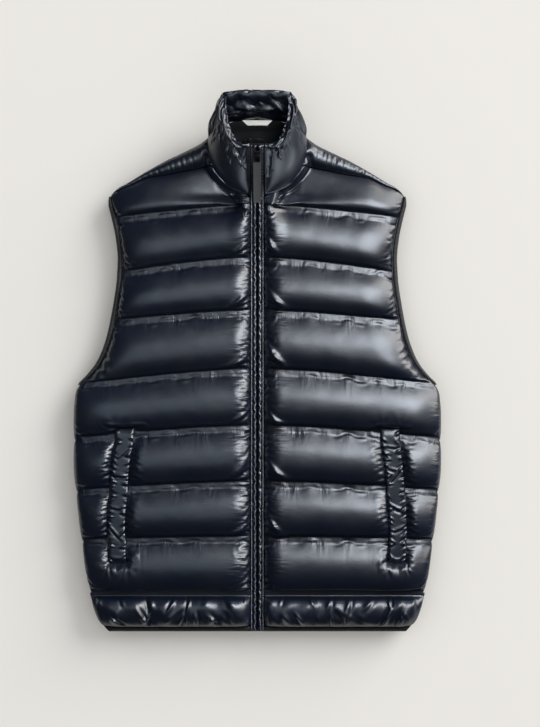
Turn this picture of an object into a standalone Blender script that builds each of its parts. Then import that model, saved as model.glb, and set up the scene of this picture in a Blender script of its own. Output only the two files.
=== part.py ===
"""A quilted puffer vest, zipped up and laid out flat on its back.

The vest lies with its back panel on the ground and its front panels on the back panel.
Sizes are in millimetres. Heights along the vest (y) are counted up from the hem edge until
the last step, which puts the middle of the whole vest's footprint on the world's origin.
The wearer's left side is at positive x.
"""

import math
from bisect import bisect_right

import bmesh
import bpy
from mathutils import Matrix, Vector

MM = 0.001
SEAM_GAP = 0.35
SIDES = {"left": 1, "right": -1}

# Levels above the ground
MID_LEVEL = 22.0  # the top of the back panel, on which the front panels lie
FRONT_LEVEL = MID_LEVEL + SEAM_GAP
BACK_EDGE_LEVEL = 18.2  # the underside of the back panel's rim

# Wall sizes of the quilted panels
PUFF_THICKNESS = 24.0
SEAM_THICKNESS = 5.0
EDGE_THICKNESS = 2.2
POCKET_THICKNESS = 13.0
HEM_THICKNESS = 20.0
SHOULDER_PUFF = 12.0
BAND_WIDTH = 8.0  # the flat quilting band between two baffles
ZIP_EDGE = 10.2  # from the middle of the zip to a front panel's edge
ZIP_ROLL = 40.0  # the width over which a baffle rises from the zip
SIDE_ROLL = 52.0
BACK_ROLL = 20.0
SIDE_NOTCH = 3.0
SEAM_BEND = 1.4  # the power by which quilting seams sink towards the sides

# The neck lifts the front panels off the back panel
NECK_CENTRE_Y = 720.0
NECK_RADIUS = 80.0
LIFT_RADIUS = 190.0
NECK_LIFT = 16.0

# Trim sizes
BINDING_SECTION = [0.55, 1.0, 0.5]  # shares of the thickness from the panel's edge outwards
BINDING_WIDTH = 7.0
BINDING_THICKNESS = 4.0
HEM_BINDING_HEIGHT = 8.0
HEM_BINDING_STEPS = 12
HEM_GATHERS = 9
GATHER_DEPTH = 0.34
GATHER_DRIFT = 0.2  # how unevenly the gathers are spaced
HEM_STEPS = [0, 0.12, 0.35, 0.62, 0.88, 1]
HEM_SEAM_RISE = 1.5
WELT_THICKNESS = 7.0
WELT_SECTION = [0.35, 1, 1, 0.35]  # shares of the thickness across a welt
WELT_END_SHARE = 0.4
POCKET_LOW = 99.0
POCKET_HIGH = 297.0
POCKET_HALF_SHARE = 0.056
POCKET_END_FADE = 14.0
LABEL_HALF_WIDTH = 23.0
LABEL_LOW, LABEL_HIGH = 732.0, 742.5
LABEL_THICKNESS = 0.8

# Outline of the laid-out body: height above the hem edge, half width
OUTLINE = [
    (0, 216), (8, 223.5), (20, 232), (52, 243), (91, 250), (135, 257), (172, 261), (200, 264.5),
    (240, 267.5), (280, 268), (319, 267.5), (346, 265), (360, 261), (372, 250), (388, 237),
    (404, 228.5), (430, 219.5), (477, 210), (512, 205), (543, 203.5), (570, 206), (602, 212.5),
    (634, 221.5),
]
UNDERARM_Y = 344.0
BINDING_LOW_Y = 359.0  # the binding's lower end
BINDING_START_Y = 378.0  # from here up the binding has its full width

# Quilting seams: height at the zip, height at the side
QUILT_SEAMS = [
    (56.5, 57), (135.5, 131), (215.5, 203), (297, 278), (379, 357), (464, 449), (541, 519.5), (616, 599),
]
BAFFLE_STEPS = [0, 0.08, 0.27, 0.52, 0.76, 0.93, 1]

# Top edge of a front panel, along the neckline and then the shoulder seam: half width, height
FRONT_TOP = [
    (11, 632.4), (28.5, 640.7), (47.2, 654), (60.5, 669.5), (66, 677), (102, 671), (131, 665),
    (160, 660), (183, 650), (200, 643.5), (214.2, 633),
]
# Top edge of the back panel, along the back neck and the shoulder fold: half width, height
BACK_TOP = [
    (0, 746), (30, 744), (50, 737), (66, 724), (80, 712), (115, 694), (131, 686.5), (160, 670.5),
    (190, 652), (208, 641), (214.2, 633),
]
BACK_COLUMNS = [1, 0.984, 0.944, 0.86, 0.39, 0.2]  # shares of half the back's width, from the side in
SHOULDER_NECK_X, SHOULDER_END_X = 69.0, 203.0
FOLD_NECK_X, FOLD_END_X = 80.5, 206.5
SHOULDER_STEPS = [0, 0.12, 0.35, 0.62, 0.85, 1]
SHOULDER_COLUMNS = 10

# Middle of the pocket: height, share of the panel's width
POCKET_LINE = [(0, 0.795), (99, 0.795), (297, 0.709), (360, 0.70), (787, 0.70)]
INNER_COLUMNS = [0, 0.05, 0.15, 0.285, 0.46, 0.75, 1]  # shares of the way from the zip to the pocket
POCKET_COLUMNS = [-0.4, 0.4, 1]  # shares of the pocket's half width, past its first edge at -1
OUTER_COLUMNS = [0.4, 0.8, 1]  # shares of the way from the pocket to the side

# Collar: share of the way round from the zip to the centre back, then x, y and z
COLLAR_BASE = [
    (0.00, 11.0, 634, 40.5), (0.15, 28, 642, 40.8), (0.30, 46, 655, 41), (0.45, 60, 672, 40.5),
    (0.58, 67, 691, 37), (0.70, 68, 711, 32.5), (0.82, 56, 731, 26.5), (0.92, 30, 743.5, 23.8),
    (1.00, 0, 746.5, 23.2),
]
COLLAR_RIM = [
    (0.00, 10.8, 700, 80), (0.15, 20, 700.5, 82), (0.30, 33, 711, 84), (0.45, 44, 732, 84),
    (0.58, 50, 752, 82), (0.70, 51, 768, 79), (0.82, 44, 778, 77), (0.92, 24, 782, 76), (1.00, 0, 783, 76),
]
COLLAR_STATIONS = 13
# Section of the collar: share of the way from base to rim, fill outwards, fill inwards
COLLAR_SECTION = [
    (0, 1.0, 1.0), (0.05, 2.5, 2.2), (0.17, 6.5, 4), (0.36, 11, 5.4), (0.58, 12, 6), (0.8, 10.5, 6),
    (0.94, 6.2, 4.4), (1, 1.8, 1.5),
]

# Line of the zip up the centre front: height along the vest, level above the ground
ZIP_LINE = [
    (0, 25), (300, 25), (515, 25), (545, 26.4), (575, 30.6), (605, 36.4), (634, 42), (668, 61.5),
    (706, 84.5), (720, 93),
]
ZIP_STEPS_BODY, ZIP_STEPS_COLLAR = 4, 11
ZIP_LOW, ZIP_BEND, ZIP_HIGH = 1.0, 500.0, 704.0
TAPE = {"inner": 0.4, "outer": 9.4, "low": -2.2, "high": -1.2}
CHAIN_HALF_WIDTH, CHAIN_HALF_HEIGHT = 2.6, 0.85
PLACKET_COLUMNS = [(0.6, 2.6), (2.2, 4.6), (5.2, 5.2), (8.0, 4.2), (9.8, 2.6)]  # x, height of the fold
PLACKET_LOW = 1.3
GUARD = {"low": -9.4, "high": -8.2, "right": -21.0, "left": 9.0, "start": 648.0, "end": 716.0}

# Slider and pull, in their own frame: x across, y up the zip, z out of it
SLIDER_Y = 692.5
SLIDER_SIZE = (8.4, 13.0, 3.2)
SLIDER_SEAT = 5.7  # the slider's underside above the zip's line
BRIDGE_HALF_LENGTH, BRIDGE_RISE, BRIDGE_WIDTH, BRIDGE_THICK = 4.6, 3.5, 2.2, 1.3
BRIDGE_STEPS = 10
BRIDGE_FOOT_DEPTH = 0.8
PIN_LEVEL = 1.75  # the pull's pivot above the slider's top face
LINK = {"half_width": 4.3, "bar": 1.5, "window": 7.6, "thick": 1.4}
TAB_LENGTH, TAB_WIDTH, TAB_THICKNESS, TAB_CORNER = 64.0, 11.0, 2.4, 2.2
PULL_SLOPE = math.radians(31.2)  # how steeply the pull lies on the collar's front


def smooth_table(rows, at):
    """The smooth curve through a table, read at one value of its first column.

    It keeps between neighbouring rows, so it adds no waves of its own.
    """
    keys = [row[0] for row in rows]
    place = min(max(bisect_right(keys, at) - 1, 0), len(rows) - 2)
    span = keys[place + 1] - keys[place]
    share = min(max((at - keys[place]) / span, 0.0), 1.0)
    return [cubic_between(rows, place, column, share, span) for column in range(1, len(rows[0]))]


def cubic_between(rows, place, column, share, span):
    """One column of a table between two of its rows, as a cubic with limited slopes."""
    first, last = rows[place][column], rows[place + 1][column]
    start, end = (limited_slope(rows, row, column) * span for row in (place, place + 1))
    square, cube = share * share, share**3
    return (
        (2 * cube - 3 * square + 1) * first
        + (cube - 2 * square + share) * start
        + (3 * square - 2 * cube) * last
        + (cube - square) * end
    )


def limited_slope(rows, row, column):
    """The slope of one column at a row: the harmonic mean of its neighbours, or flat at a turn."""
    slopes = [
        (rows[n + 1][column] - rows[n][column]) / (rows[n + 1][0] - rows[n][0])
        for n in (row - 1, row)
        if 0 <= n < len(rows) - 1
    ]
    if len(slopes) == 1:
        return slopes[0]
    if slopes[0] * slopes[1] <= 0:
        return 0.0
    return 2 * slopes[0] * slopes[1] / (slopes[0] + slopes[1])


def mix(first, last, share):
    return first + (last - first) * share


def smooth_step(share):
    share = min(max(share, 0.0), 1.0)
    return share * share * (3 - 2 * share)


def rounded(distance, width):
    """How full a rolled edge is, from 0 at the edge to 1 one roll's width inside it."""
    share = min(max(distance / width, 0.0), 1.0)
    return math.sqrt(1 - (1 - share) ** 2)


def puff(share):
    """The section of a filled baffle, from one seam to the next."""
    return max(0.0, 1 - abs(2 * share - 1) ** 2.4) ** 0.55


def point(x, y, z):
    return Vector((x, y, z)) * MM


def finish(name, colour, roughness, metallic=0.0):
    """A plain material of one colour."""
    material = bpy.data.materials.new(name)
    material.use_nodes = True
    shader = material.node_tree.nodes["Principled BSDF"]
    shader.inputs["Base Color"].default_value = (*colour, 1.0)
    shader.inputs["Roughness"].default_value = roughness
    shader.inputs["Metallic"].default_value = metallic
    return material


def add_object(name, mesh_data, material, root):
    """Puts a finished mesh in the scene under the vest's root."""
    bmesh.ops.recalc_face_normals(mesh_data, faces=mesh_data.faces)
    mesh = bpy.data.meshes.new(name)
    mesh_data.to_mesh(mesh)
    mesh_data.free()
    mesh.shade_smooth()
    mesh.set_sharp_from_angle(angle=math.radians(50))
    mesh.materials.append(material)
    part = bpy.data.objects.new(name, mesh)
    part.parent = root
    bpy.context.scene.collection.objects.link(part)
    return part


def split_cell(mesh, a, b, c, d):
    """Two triangles for a cell, always cut along the same diagonal."""
    mesh.faces.new((a, b, c))
    mesh.faces.new((a, c, d))


def wall(name, outer, inner, material, root):
    """A closed wall through matching rows of outer and inner points."""
    mesh = bmesh.new()
    skins = [[[mesh.verts.new(place) for place in row] for row in rows] for rows in (outer, inner)]
    for skin in skins:
        for low, high in zip(skin, skin[1:]):
            for n in range(len(low) - 1):
                split_cell(mesh, low[n], low[n + 1], high[n + 1], high[n])
    top, under = skins
    for end in (0, -1):
        for n in range(len(top[end]) - 1):
            split_cell(mesh, top[end][n], top[end][n + 1], under[end][n + 1], under[end][n])
        for n in range(len(top) - 1):
            split_cell(mesh, top[n][end], top[n + 1][end], under[n + 1][end], under[n][end])
    return add_object(name, mesh, material, root)


def half_width(height):
    """Half the width of the laid-out vest at a height."""
    return smooth_table(OUTLINE, height)[0]


def panel_half_width(height):
    """The outer edge of a panel: the outline less the armhole's binding, notched at the seams."""
    binding = (BINDING_WIDTH + SEAM_GAP) * smooth_step(
        (height - UNDERARM_Y) / (BINDING_START_Y - UNDERARM_Y)
    )
    notch = SIDE_NOTCH * (1 - side_fullness(height)) * smooth_step((UNDERARM_Y - height) / 20)
    return half_width(height) - binding - notch


def side_fullness(height):
    """How full the baffle is at the side seam at a height: 0 on a quilting seam."""
    for (_, low), (_, high) in zip(QUILT_SEAMS, QUILT_SEAMS[1:]):
        if low <= height <= high:
            return puff((height - low) / (high - low))
    return 1.0


def neck_lift(x, y):
    """How far the neck holds the front off the back."""
    radius = math.hypot(x, y - NECK_CENTRE_Y)
    return NECK_LIFT * smooth_step((LIFT_RADIUS - radius) / (LIFT_RADIUS - NECK_RADIUS))


def pocket_middle(height):
    return smooth_table(POCKET_LINE, height)[0]


def panel_columns(height):
    """Where a row's points lie across a front panel, as shares of its width."""
    middle = pocket_middle(height)
    first, last = middle - POCKET_HALF_SHARE, middle + POCKET_HALF_SHARE
    return (
        [first * share for share in INNER_COLUMNS]
        + [middle + POCKET_HALF_SHARE * share for share in POCKET_COLUMNS]
        + [mix(last, 1, share) for share in OUTER_COLUMNS]
    )


def pocket_press(share, height):
    """How far the pocket's stitching presses a baffle down, from 0 to 1."""
    across = abs(share - pocket_middle(height)) / POCKET_HALF_SHARE
    along = min(height - POCKET_LOW, POCKET_HIGH - height) / POCKET_END_FADE + 1
    return smooth_step((1.9 - across) / 0.8) * smooth_step(along)


def seam_row(at_zip, at_side):
    """A row of plan points (x, y, share) along a quilting line, from the zip to the side."""
    outer = panel_half_width(at_side)
    return [
        (mix(ZIP_EDGE, outer, share), mix(at_zip, at_side, share**SEAM_BEND), share)
        for share in panel_columns((at_zip + at_side) / 2)
    ]


def baffle_rows(low, high):
    """Rows of one baffle between two quilting seams, each with its fullness."""
    half_band = BAND_WIDTH / 2
    for step in BAFFLE_STEPS:
        at_zip = mix(low[0] + half_band, high[0] - half_band, step)
        at_side = mix(low[1] + half_band, high[1] - half_band, step)
        yield seam_row(at_zip, at_side), puff(step)


def top_baffle_rows():
    """Rows of the baffle that ends at the neckline and the shoulder seam."""
    low = seam_row(*(seam + BAND_WIDTH / 2 for seam in QUILT_SEAMS[-1]))
    ends = FRONT_TOP[0][0], FRONT_TOP[-1][0]
    for step in BAFFLE_STEPS:
        row = []
        for x, y, share in low:
            top_x = mix(*ends, share)
            top_y = smooth_table(FRONT_TOP, top_x)[0]
            row.append((mix(x, top_x, step), mix(y, top_y, step), share))
        yield row, puff(step)


def front_rows():
    """Every row of a front panel from the hem seam to the shoulder, with its fullness."""
    for low, high in zip(QUILT_SEAMS, QUILT_SEAMS[1:]):
        yield from baffle_rows(low, high)
    yield from top_baffle_rows()


def front_thickness(x, y, share, outer, fullness):
    """The wall of a front panel at one point."""
    filled = (PUFF_THICKNESS - SEAM_THICKNESS) * fullness * rounded(x - ZIP_EDGE, ZIP_ROLL)
    body = SEAM_THICKNESS + filled
    thickness = mix(EDGE_THICKNESS, body, rounded(outer - x, SIDE_ROLL))
    pressed = min(thickness, POCKET_THICKNESS)
    return mix(thickness, pressed, pocket_press(share, y))


def front_grids(side):
    """The outer and inner points of a front panel."""
    outer, inner = [], []
    for row, fullness in front_rows():
        edge = row[-1][0]
        under = [(x, y, FRONT_LEVEL + neck_lift(x, y)) for x, y, _ in row]
        walls = [front_thickness(x, y, share, edge, fullness) for x, y, share in row]
        inner.append([point(side * x, y, z) for x, y, z in under])
        outer.append([point(side * x, y, z + t) for (x, y, z), t in zip(under, walls)])
    return outer, inner


def build_front(name, side, material, root):
    wall(f"front_{name}", *front_grids(side), material, root)


def build_pocket_welt(name, side, material, root):
    """The padded strip over a pocket's mouth, made from the front panel's own points."""
    first = len(INNER_COLUMNS) - 1
    under = [
        row[first : first + len(WELT_SECTION)]
        for row in front_grids(side)[0]
        if POCKET_LOW * MM <= row[first].y <= POCKET_HIGH * MM
    ]
    lower = [[place + point(0, 0, SEAM_GAP) for place in row] for row in under]
    upper = []
    for n, row in enumerate(lower):
        taper = WELT_END_SHARE if n in (0, len(lower) - 1) else 1.0
        upper.append([
            place + point(0, 0, WELT_THICKNESS * share * taper)
            for place, share in zip(row, WELT_SECTION)
        ])
    wall(f"pocket_welt_{name}", upper, lower, material, root)


def hem_thickness(share, step, x, outer):
    """The wall of the gathered hem channel: gathers deepen towards its elastic edge."""
    turn = 2 * math.pi * (HEM_GATHERS * share + GATHER_DRIFT * math.sin(5 * math.pi * share))
    gather = 1 - GATHER_DEPTH * (0.5 + 0.5 * math.cos(turn)) * (1 - 0.45 * step)
    filled = (HEM_THICKNESS - EDGE_THICKNESS) * puff(step) * gather * rounded(x - ZIP_EDGE, ZIP_ROLL / 2)
    return EDGE_THICKNESS + (filled + HEM_SEAM_RISE * step) * rounded(outer - x, SIDE_ROLL * 0.7)


def build_hem_channel(name, side, material, root):
    """The lowest baffle, gathered by the elastic in the hem."""
    columns = 4 * HEM_GATHERS
    low = HEM_BINDING_HEIGHT + SEAM_GAP
    outer, inner = [], []
    for step in HEM_STEPS:
        top = [seam + BAND_WIDTH / 2 - SEAM_GAP for seam in QUILT_SEAMS[0]]
        edge = panel_half_width(mix(low, top[1], step))
        row_outer, row_inner = [], []
        for n in range(columns + 1):
            share = n / columns
            x = mix(ZIP_EDGE, edge, share)
            y = mix(low, mix(*top, share**SEAM_BEND), step)
            row_inner.append(point(side * x, y, FRONT_LEVEL))
            row_outer.append(point(side * x, y, FRONT_LEVEL + hem_thickness(share, step, x, edge)))
        outer.append(row_outer)
        inner.append(row_inner)
    wall(f"hem_channel_{name}", outer, inner, material, root)


def build_shoulder(name, side, material, root):
    """The strip of the back that rolls over the shoulder to the front's shoulder seam."""
    outer, inner = [], []
    for step in SHOULDER_STEPS:
        row_outer, row_inner = [], []
        for n in range(SHOULDER_COLUMNS + 1):
            share = n / SHOULDER_COLUMNS
            seam_x = mix(SHOULDER_NECK_X, SHOULDER_END_X, share)
            seam_y = smooth_table(FRONT_TOP, seam_x)[0] + 2 * SEAM_GAP
            fold_x = mix(FOLD_NECK_X, FOLD_END_X, share)
            fold_y = smooth_table(BACK_TOP, fold_x)[0]
            x, y = mix(seam_x, fold_x, step), mix(seam_y, fold_y, step)
            low = FRONT_LEVEL + neck_lift(seam_x, seam_y) * (1 - step) ** 1.2
            fill = SHOULDER_PUFF * puff(step) * rounded(share, 0.25) * rounded(1.02 - share, 0.6)
            thickness = mix(SEAM_THICKNESS, EDGE_THICKNESS, step) + fill
            row_inner.append(point(side * x, y, low))
            row_outer.append(point(side * x, y, low + thickness))
        outer.append(row_outer)
        inner.append(row_inner)
    wall(f"shoulder_{name}", outer, inner, material, root)


def back_rows():
    """Plan rows of the back panel: (x, y, distance from the edge) from the hem to the neck."""
    across = [-share for share in BACK_COLUMNS] + [0] + BACK_COLUMNS[::-1]
    low = HEM_BINDING_HEIGHT + SEAM_GAP
    heights = [low, low + 2, low + 7, low + 20]
    for (_, lower), (_, upper) in zip(QUILT_SEAMS[:4], QUILT_SEAMS[1:4]):
        heights += [mix(lower, upper, step) for step in (0, 0.12, 0.5, 0.88)]
    shoulder_start = QUILT_SEAMS[-1][1] + BAND_WIDTH / 2
    sides = [row[-1][1] for row, _ in front_rows()]
    heights += [y for y in sides if QUILT_SEAMS[3][1] < y < shoulder_start]
    for y in heights + [shoulder_start]:
        half = panel_half_width(y)
        yield [(half * share, y, min(half * (1 - abs(share)), y - low)) for share in across]
    half, top_half = panel_half_width(shoulder_start), BACK_TOP[-1][0]
    for step in (0.3, 0.6, 0.8, 0.9, 0.97, 1):
        row = []
        for share in across:
            top_y = smooth_table(BACK_TOP, abs(share) * top_half)[0]
            x, y = mix(half, top_half, step) * share, mix(shoulder_start, top_y, step)
            row.append((x, y, min(mix(half, top_half, step) * (1 - abs(share)), top_y - y)))
        yield row


def build_back(material, root):
    """The back panel: flat where it lies on the ground, rolled up at its edges."""
    under, top = [], []
    for row in back_rows():
        under.append([
            point(x, y, BACK_EDGE_LEVEL * (1 - rounded(inside, BACK_ROLL))) for x, y, inside in row
        ])
        top.append([point(x, y, MID_LEVEL) for x, y, _ in row])
    wall("back_panel", under, top, material, root)


def strip_levels(face):
    """The start level and the direction of a binding on the front or the back."""
    return (FRONT_LEVEL, 1) if face == "front" else (MID_LEVEL - SEAM_GAP, -1)


def build_armhole_binding(name, face, side, material, root):
    """The narrow elastic binding along one face of an armhole."""
    level, way = strip_levels(face)
    outer, inner = [], []
    panel_edge = [row[-1] for row, _ in front_rows()]
    for x, y, _ in panel_edge:
        if y < BINDING_LOW_Y:
            continue
        edge, start = half_width(y), x + SEAM_GAP
        across = [start, (start + edge) / 2, edge]
        inner.append([point(side * x, y, level) for x in across])
        outer.append([
            point(side * x, y, level + way * BINDING_THICKNESS * share)
            for x, share in zip(across, BINDING_SECTION)
        ])
    wall(f"armhole_binding_{face}_{name}", outer, inner, material, root)


def build_hem_binding(name, face, start, end, material, root):
    """The elastic binding along the hem between two x positions."""
    level, way = strip_levels(face)
    outer, inner = [], []
    for n in range(HEM_BINDING_STEPS + 1):
        share = n / HEM_BINDING_STEPS
        inner_row, outer_row = [], []
        for rise, height in zip((1, 0.5, 0), BINDING_SECTION):
            reach = half_width(rise * HEM_BINDING_HEIGHT) / half_width(0)
            x = mix(start, end, share)
            x = x * reach if abs(x) > ZIP_EDGE else x
            inner_row.append(point(x, rise * HEM_BINDING_HEIGHT, level))
            lifted = level + way * BINDING_THICKNESS * height
            outer_row.append(point(x, rise * HEM_BINDING_HEIGHT, lifted))
        inner.append(inner_row)
        outer.append(outer_row)
    wall(f"hem_binding_{name}", outer, inner, material, root)


def collar_frame(share):
    """The collar's base, rim and outward direction at a share of the way round one side."""
    base = Vector(smooth_table(COLLAR_BASE, share))
    rim = Vector(smooth_table(COLLAR_RIM, share))
    before, after = (
        sum((Vector(smooth_table(table, place)) for table in (COLLAR_BASE, COLLAR_RIM)), Vector())
        for place in (max(share - 0.01, 0), min(share + 0.01, 1))
    )
    outward = (rim - base).cross(after - before).normalized()
    middle = (base + rim) / 2
    if outward.dot(middle - Vector((0, NECK_CENTRE_Y - 8, 55))) < 0:
        outward.negate()
    if share == 1:
        outward.x = 0
    return base, rim, outward.normalized()


def build_collar(material, root):
    """The padded stand-up collar, one wall from one zip edge round the neck to the other."""
    places = [n / COLLAR_STATIONS for n in range(COLLAR_STATIONS + 1)]
    stations = [(share, 1) for share in places] + [(share, -1) for share in places[-2::-1]]
    outer, inner = [], []
    for row, outer_fill, inner_fill in COLLAR_SECTION:
        outer_row, inner_row = [], []
        for share, side in stations:
            base, rim, outward = collar_frame(share)
            ending = 0.45 + 0.55 * rounded(share, 0.16)
            for target, offset in ((outer_row, outer_fill), (inner_row, -inner_fill)):
                place = base.lerp(rim, row) + outward * offset * ending
                target.append(point(side * place.x, place.y, place.z))
        outer.append(outer_row)
        inner.append(inner_row)
    wall("collar", outer, inner, material, root)


def zip_frame(y):
    """A point on the zip's line and the direction out of the cloth there."""
    level = smooth_table(ZIP_LINE, y)[0]
    rise = smooth_table(ZIP_LINE, y + 1)[0] - smooth_table(ZIP_LINE, y - 1)[0]
    return Vector((0, y, level)), Vector((0, -rise, 2)).normalized()


def zip_heights(low=ZIP_LOW, high=ZIP_HIGH):
    """Steps along the zip, closer together on the neck and the collar."""
    bend = max(low, ZIP_BEND)
    body = [mix(low, bend, n / ZIP_STEPS_BODY) for n in range(ZIP_STEPS_BODY)] if low < bend else []
    return body + [mix(bend, high, n / ZIP_STEPS_COLLAR) for n in range(ZIP_STEPS_COLLAR + 1)]


def zip_strip(name, columns, floor, heights, material, root):
    """A strip along the zip: columns are (x, height over the zip's line), floor its underside."""
    outer, inner = [], []
    for y in heights:
        place, out = zip_frame(y)
        outer.append([(place + out * top + Vector((x, 0, 0))) * MM for x, top in columns])
        inner.append([(place + out * floor + Vector((x, 0, 0))) * MM for x, _ in columns])
    wall(name, outer, inner, material, root)


def build_zip(material_by_piece, root):
    """Both tapes, the chain of teeth, the folded plackets over it and the guard behind it."""
    for name, side in SIDES.items():
        tape = [(side * TAPE["inner"], TAPE["high"]), (side * TAPE["outer"], TAPE["high"])]
        zip_strip(f"zip_tape_{name}", tape, TAPE["low"], zip_heights(), material_by_piece["tape"], root)
        fold = [(side * x, top) for x, top in PLACKET_COLUMNS]
        zip_strip(f"placket_{name}", fold, PLACKET_LOW, zip_heights(), material_by_piece["shell"], root)
    chain = [(-CHAIN_HALF_WIDTH, CHAIN_HALF_HEIGHT), (CHAIN_HALF_WIDTH, CHAIN_HALF_HEIGHT)]
    zip_strip("zip_chain", chain, -CHAIN_HALF_HEIGHT, zip_heights(), material_by_piece["teeth"], root)
    guard = [(GUARD["right"], GUARD["high"]), (GUARD["left"], GUARD["high"])]
    heights = zip_heights(GUARD["start"], GUARD["end"])
    zip_strip("zip_guard", guard, GUARD["low"], heights, material_by_piece["lining"], root)


def box(mesh, size, centre):
    """A box in a mesh; returns its corners."""
    placed = Matrix.Translation(centre) @ Matrix.Diagonal((*size, 1))
    return bmesh.ops.create_cube(mesh, size=1, matrix=placed)["verts"]


def bevelled(mesh, verts, width, segments=2):
    """Rounds the edges between some corners."""
    edges = [edge for edge in mesh.edges if all(end in verts for end in edge.verts)]
    bmesh.ops.bevel(mesh, geom=edges, offset=width, segments=segments, profile=0.5, affect="EDGES")


def slider_matrix():
    """The slider's own frame, on the plackets near the top of the collar."""
    place, out = zip_frame(SLIDER_Y)
    along = Vector((1, 0, 0)).cross(out) * -1
    turn = Matrix((Vector((1, 0, 0)), along, out)).transposed().to_4x4()
    return Matrix.Translation((place + out * SLIDER_SEAT) * MM) @ turn @ Matrix.Diagonal((MM, MM, MM, 1))


def add_bridge(mesh):
    """The slider's bridge: a bent bar whose feet are sunk into the slider's body."""
    rings = []
    top = SLIDER_SIZE[2]
    for n in range(BRIDGE_STEPS + 1):
        angle = math.pi * n / BRIDGE_STEPS
        ring = []
        for grow, x in ((0, -1), (0, 1), (1, 1), (1, -1)):
            length = BRIDGE_HALF_LENGTH - BRIDGE_THICK * (1 - grow)
            rise = BRIDGE_RISE + BRIDGE_THICK * grow
            foot = BRIDGE_FOOT_DEPTH if n in (0, BRIDGE_STEPS) else 0.0
            level = top + math.sin(angle) * rise - foot
            ring.append(mesh.verts.new((x * BRIDGE_WIDTH / 2, -math.cos(angle) * length, level)))
        rings.append(ring)
    for low, high in zip(rings, rings[1:]):
        for n in range(4):
            mesh.faces.new((low[n], low[(n + 1) % 4], high[(n + 1) % 4], high[n]))
    mesh.faces.new(rings[0])
    mesh.faces.new(rings[-1])


def build_slider(material, root):
    """The slider: a bevelled body with a bridge that holds the pull."""
    body = bmesh.new()
    corners = box(body, SLIDER_SIZE, Vector((0, 0, SLIDER_SIZE[2] / 2)))
    bevelled(body, corners, 0.8)
    body.transform(slider_matrix())
    slider = add_object("zip_slider", body, material, root)
    bridge = bmesh.new()
    add_bridge(bridge)
    bridge.transform(slider_matrix())
    helper = add_object("slider_bridge", bridge, material, root)
    helper.hide_render = True
    helper.display_type = "WIRE"
    union = slider.modifiers.new("bridge", "BOOLEAN")
    union.operation = "UNION"
    union.object = helper


def pull_matrix():
    """The pull's own frame: its origin on the pivot, its y axis pointing away from its free end."""
    pivot = slider_matrix() @ Vector((0, 0, SLIDER_SIZE[2] + PIN_LEVEL))
    turn = Matrix.Rotation(PULL_SLOPE, 4, "X")
    return Matrix.Translation(pivot) @ turn @ Matrix.Diagonal((MM, MM, MM, 1))


def rounded_outline(half, low, high, corner, steps=4):
    """A rectangle with round corners, as plan points in order."""
    turns = [(half - corner, high - corner, 0), (corner - half, high - corner, 90),
             (corner - half, low + corner, 180), (half - corner, low + corner, 270)]
    for x, y, start in turns:
        for n in range(steps + 1):
            angle = math.radians(start + 90 * n / steps)
            yield x + corner * math.cos(angle), y + corner * math.sin(angle)


def slab(mesh, outline, low, high):
    """A flat plate of one outline."""
    face = mesh.faces.new([mesh.verts.new((x, y, low)) for x, y in outline])
    raised = bmesh.ops.extrude_face_region(mesh, geom=[face])["geom"]
    moved = [item for item in raised if isinstance(item, bmesh.types.BMVert)]
    bmesh.ops.translate(mesh, verts=moved, vec=(0, 0, high - low))


def build_pull(metal, rubber, root):
    """The pull: a metal link through the slider's bridge and the long tab on it."""
    half, bar, window, thick = (LINK[key] for key in ("half_width", "bar", "window", "thick"))
    frame = bmesh.new()
    low = -bar / 2 - window - bar
    slab(frame, list(rounded_outline(half, low, bar / 2, 1.2)), -thick / 2, thick / 2)
    frame.transform(pull_matrix())
    link = add_object("pull_link", frame, metal, root)
    hole = bmesh.new()
    box(hole, (2 * (half - bar), window, 4 * thick), Vector((0, -bar / 2 - window / 2, 0)))
    hole.transform(pull_matrix())
    cutter = add_object("link_window", hole, metal, root)
    cutter.hide_render = True
    cutter.display_type = "WIRE"
    cut = link.modifiers.new("window", "BOOLEAN")
    cut.operation = "DIFFERENCE"
    cut.object = cutter
    tab = bmesh.new()
    top = low - SEAM_GAP
    outline = list(rounded_outline(TAB_WIDTH / 2, top - TAB_LENGTH, top, TAB_CORNER))
    slab(tab, outline, -TAB_THICKNESS / 2, TAB_THICKNESS / 2)
    tab.transform(pull_matrix())
    add_object("pull_tab", tab, rubber, root)


def build_label(material, root):
    """The blank loop label at the back neck, on the inside of the back panel."""
    outer, inner = [], []
    for y, half in ((LABEL_LOW, LABEL_HALF_WIDTH - 6), (LABEL_HIGH, LABEL_HALF_WIDTH)):
        row = [(-half, y), (-half / 3, y), (half / 3, y), (half, y)]
        inner.append([point(x, y, FRONT_LEVEL) for x, y in row])
        outer.append([point(x, y, FRONT_LEVEL + LABEL_THICKNESS) for x, y in row])
    wall("neck_label", outer, inner, material, root)


def centre_on_origin(root):
    """Moves the whole vest so that the middle of its footprint is at the origin."""
    bpy.context.view_layer.update()
    places = [
        part.matrix_world @ vertex.co
        for part in root.children
        if not part.hide_render
        for vertex in part.data.vertices
    ]
    for axis in (0, 1):
        values = [place[axis] for place in places]
        root.location[axis] = -(min(values) + max(values)) / 2


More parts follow.
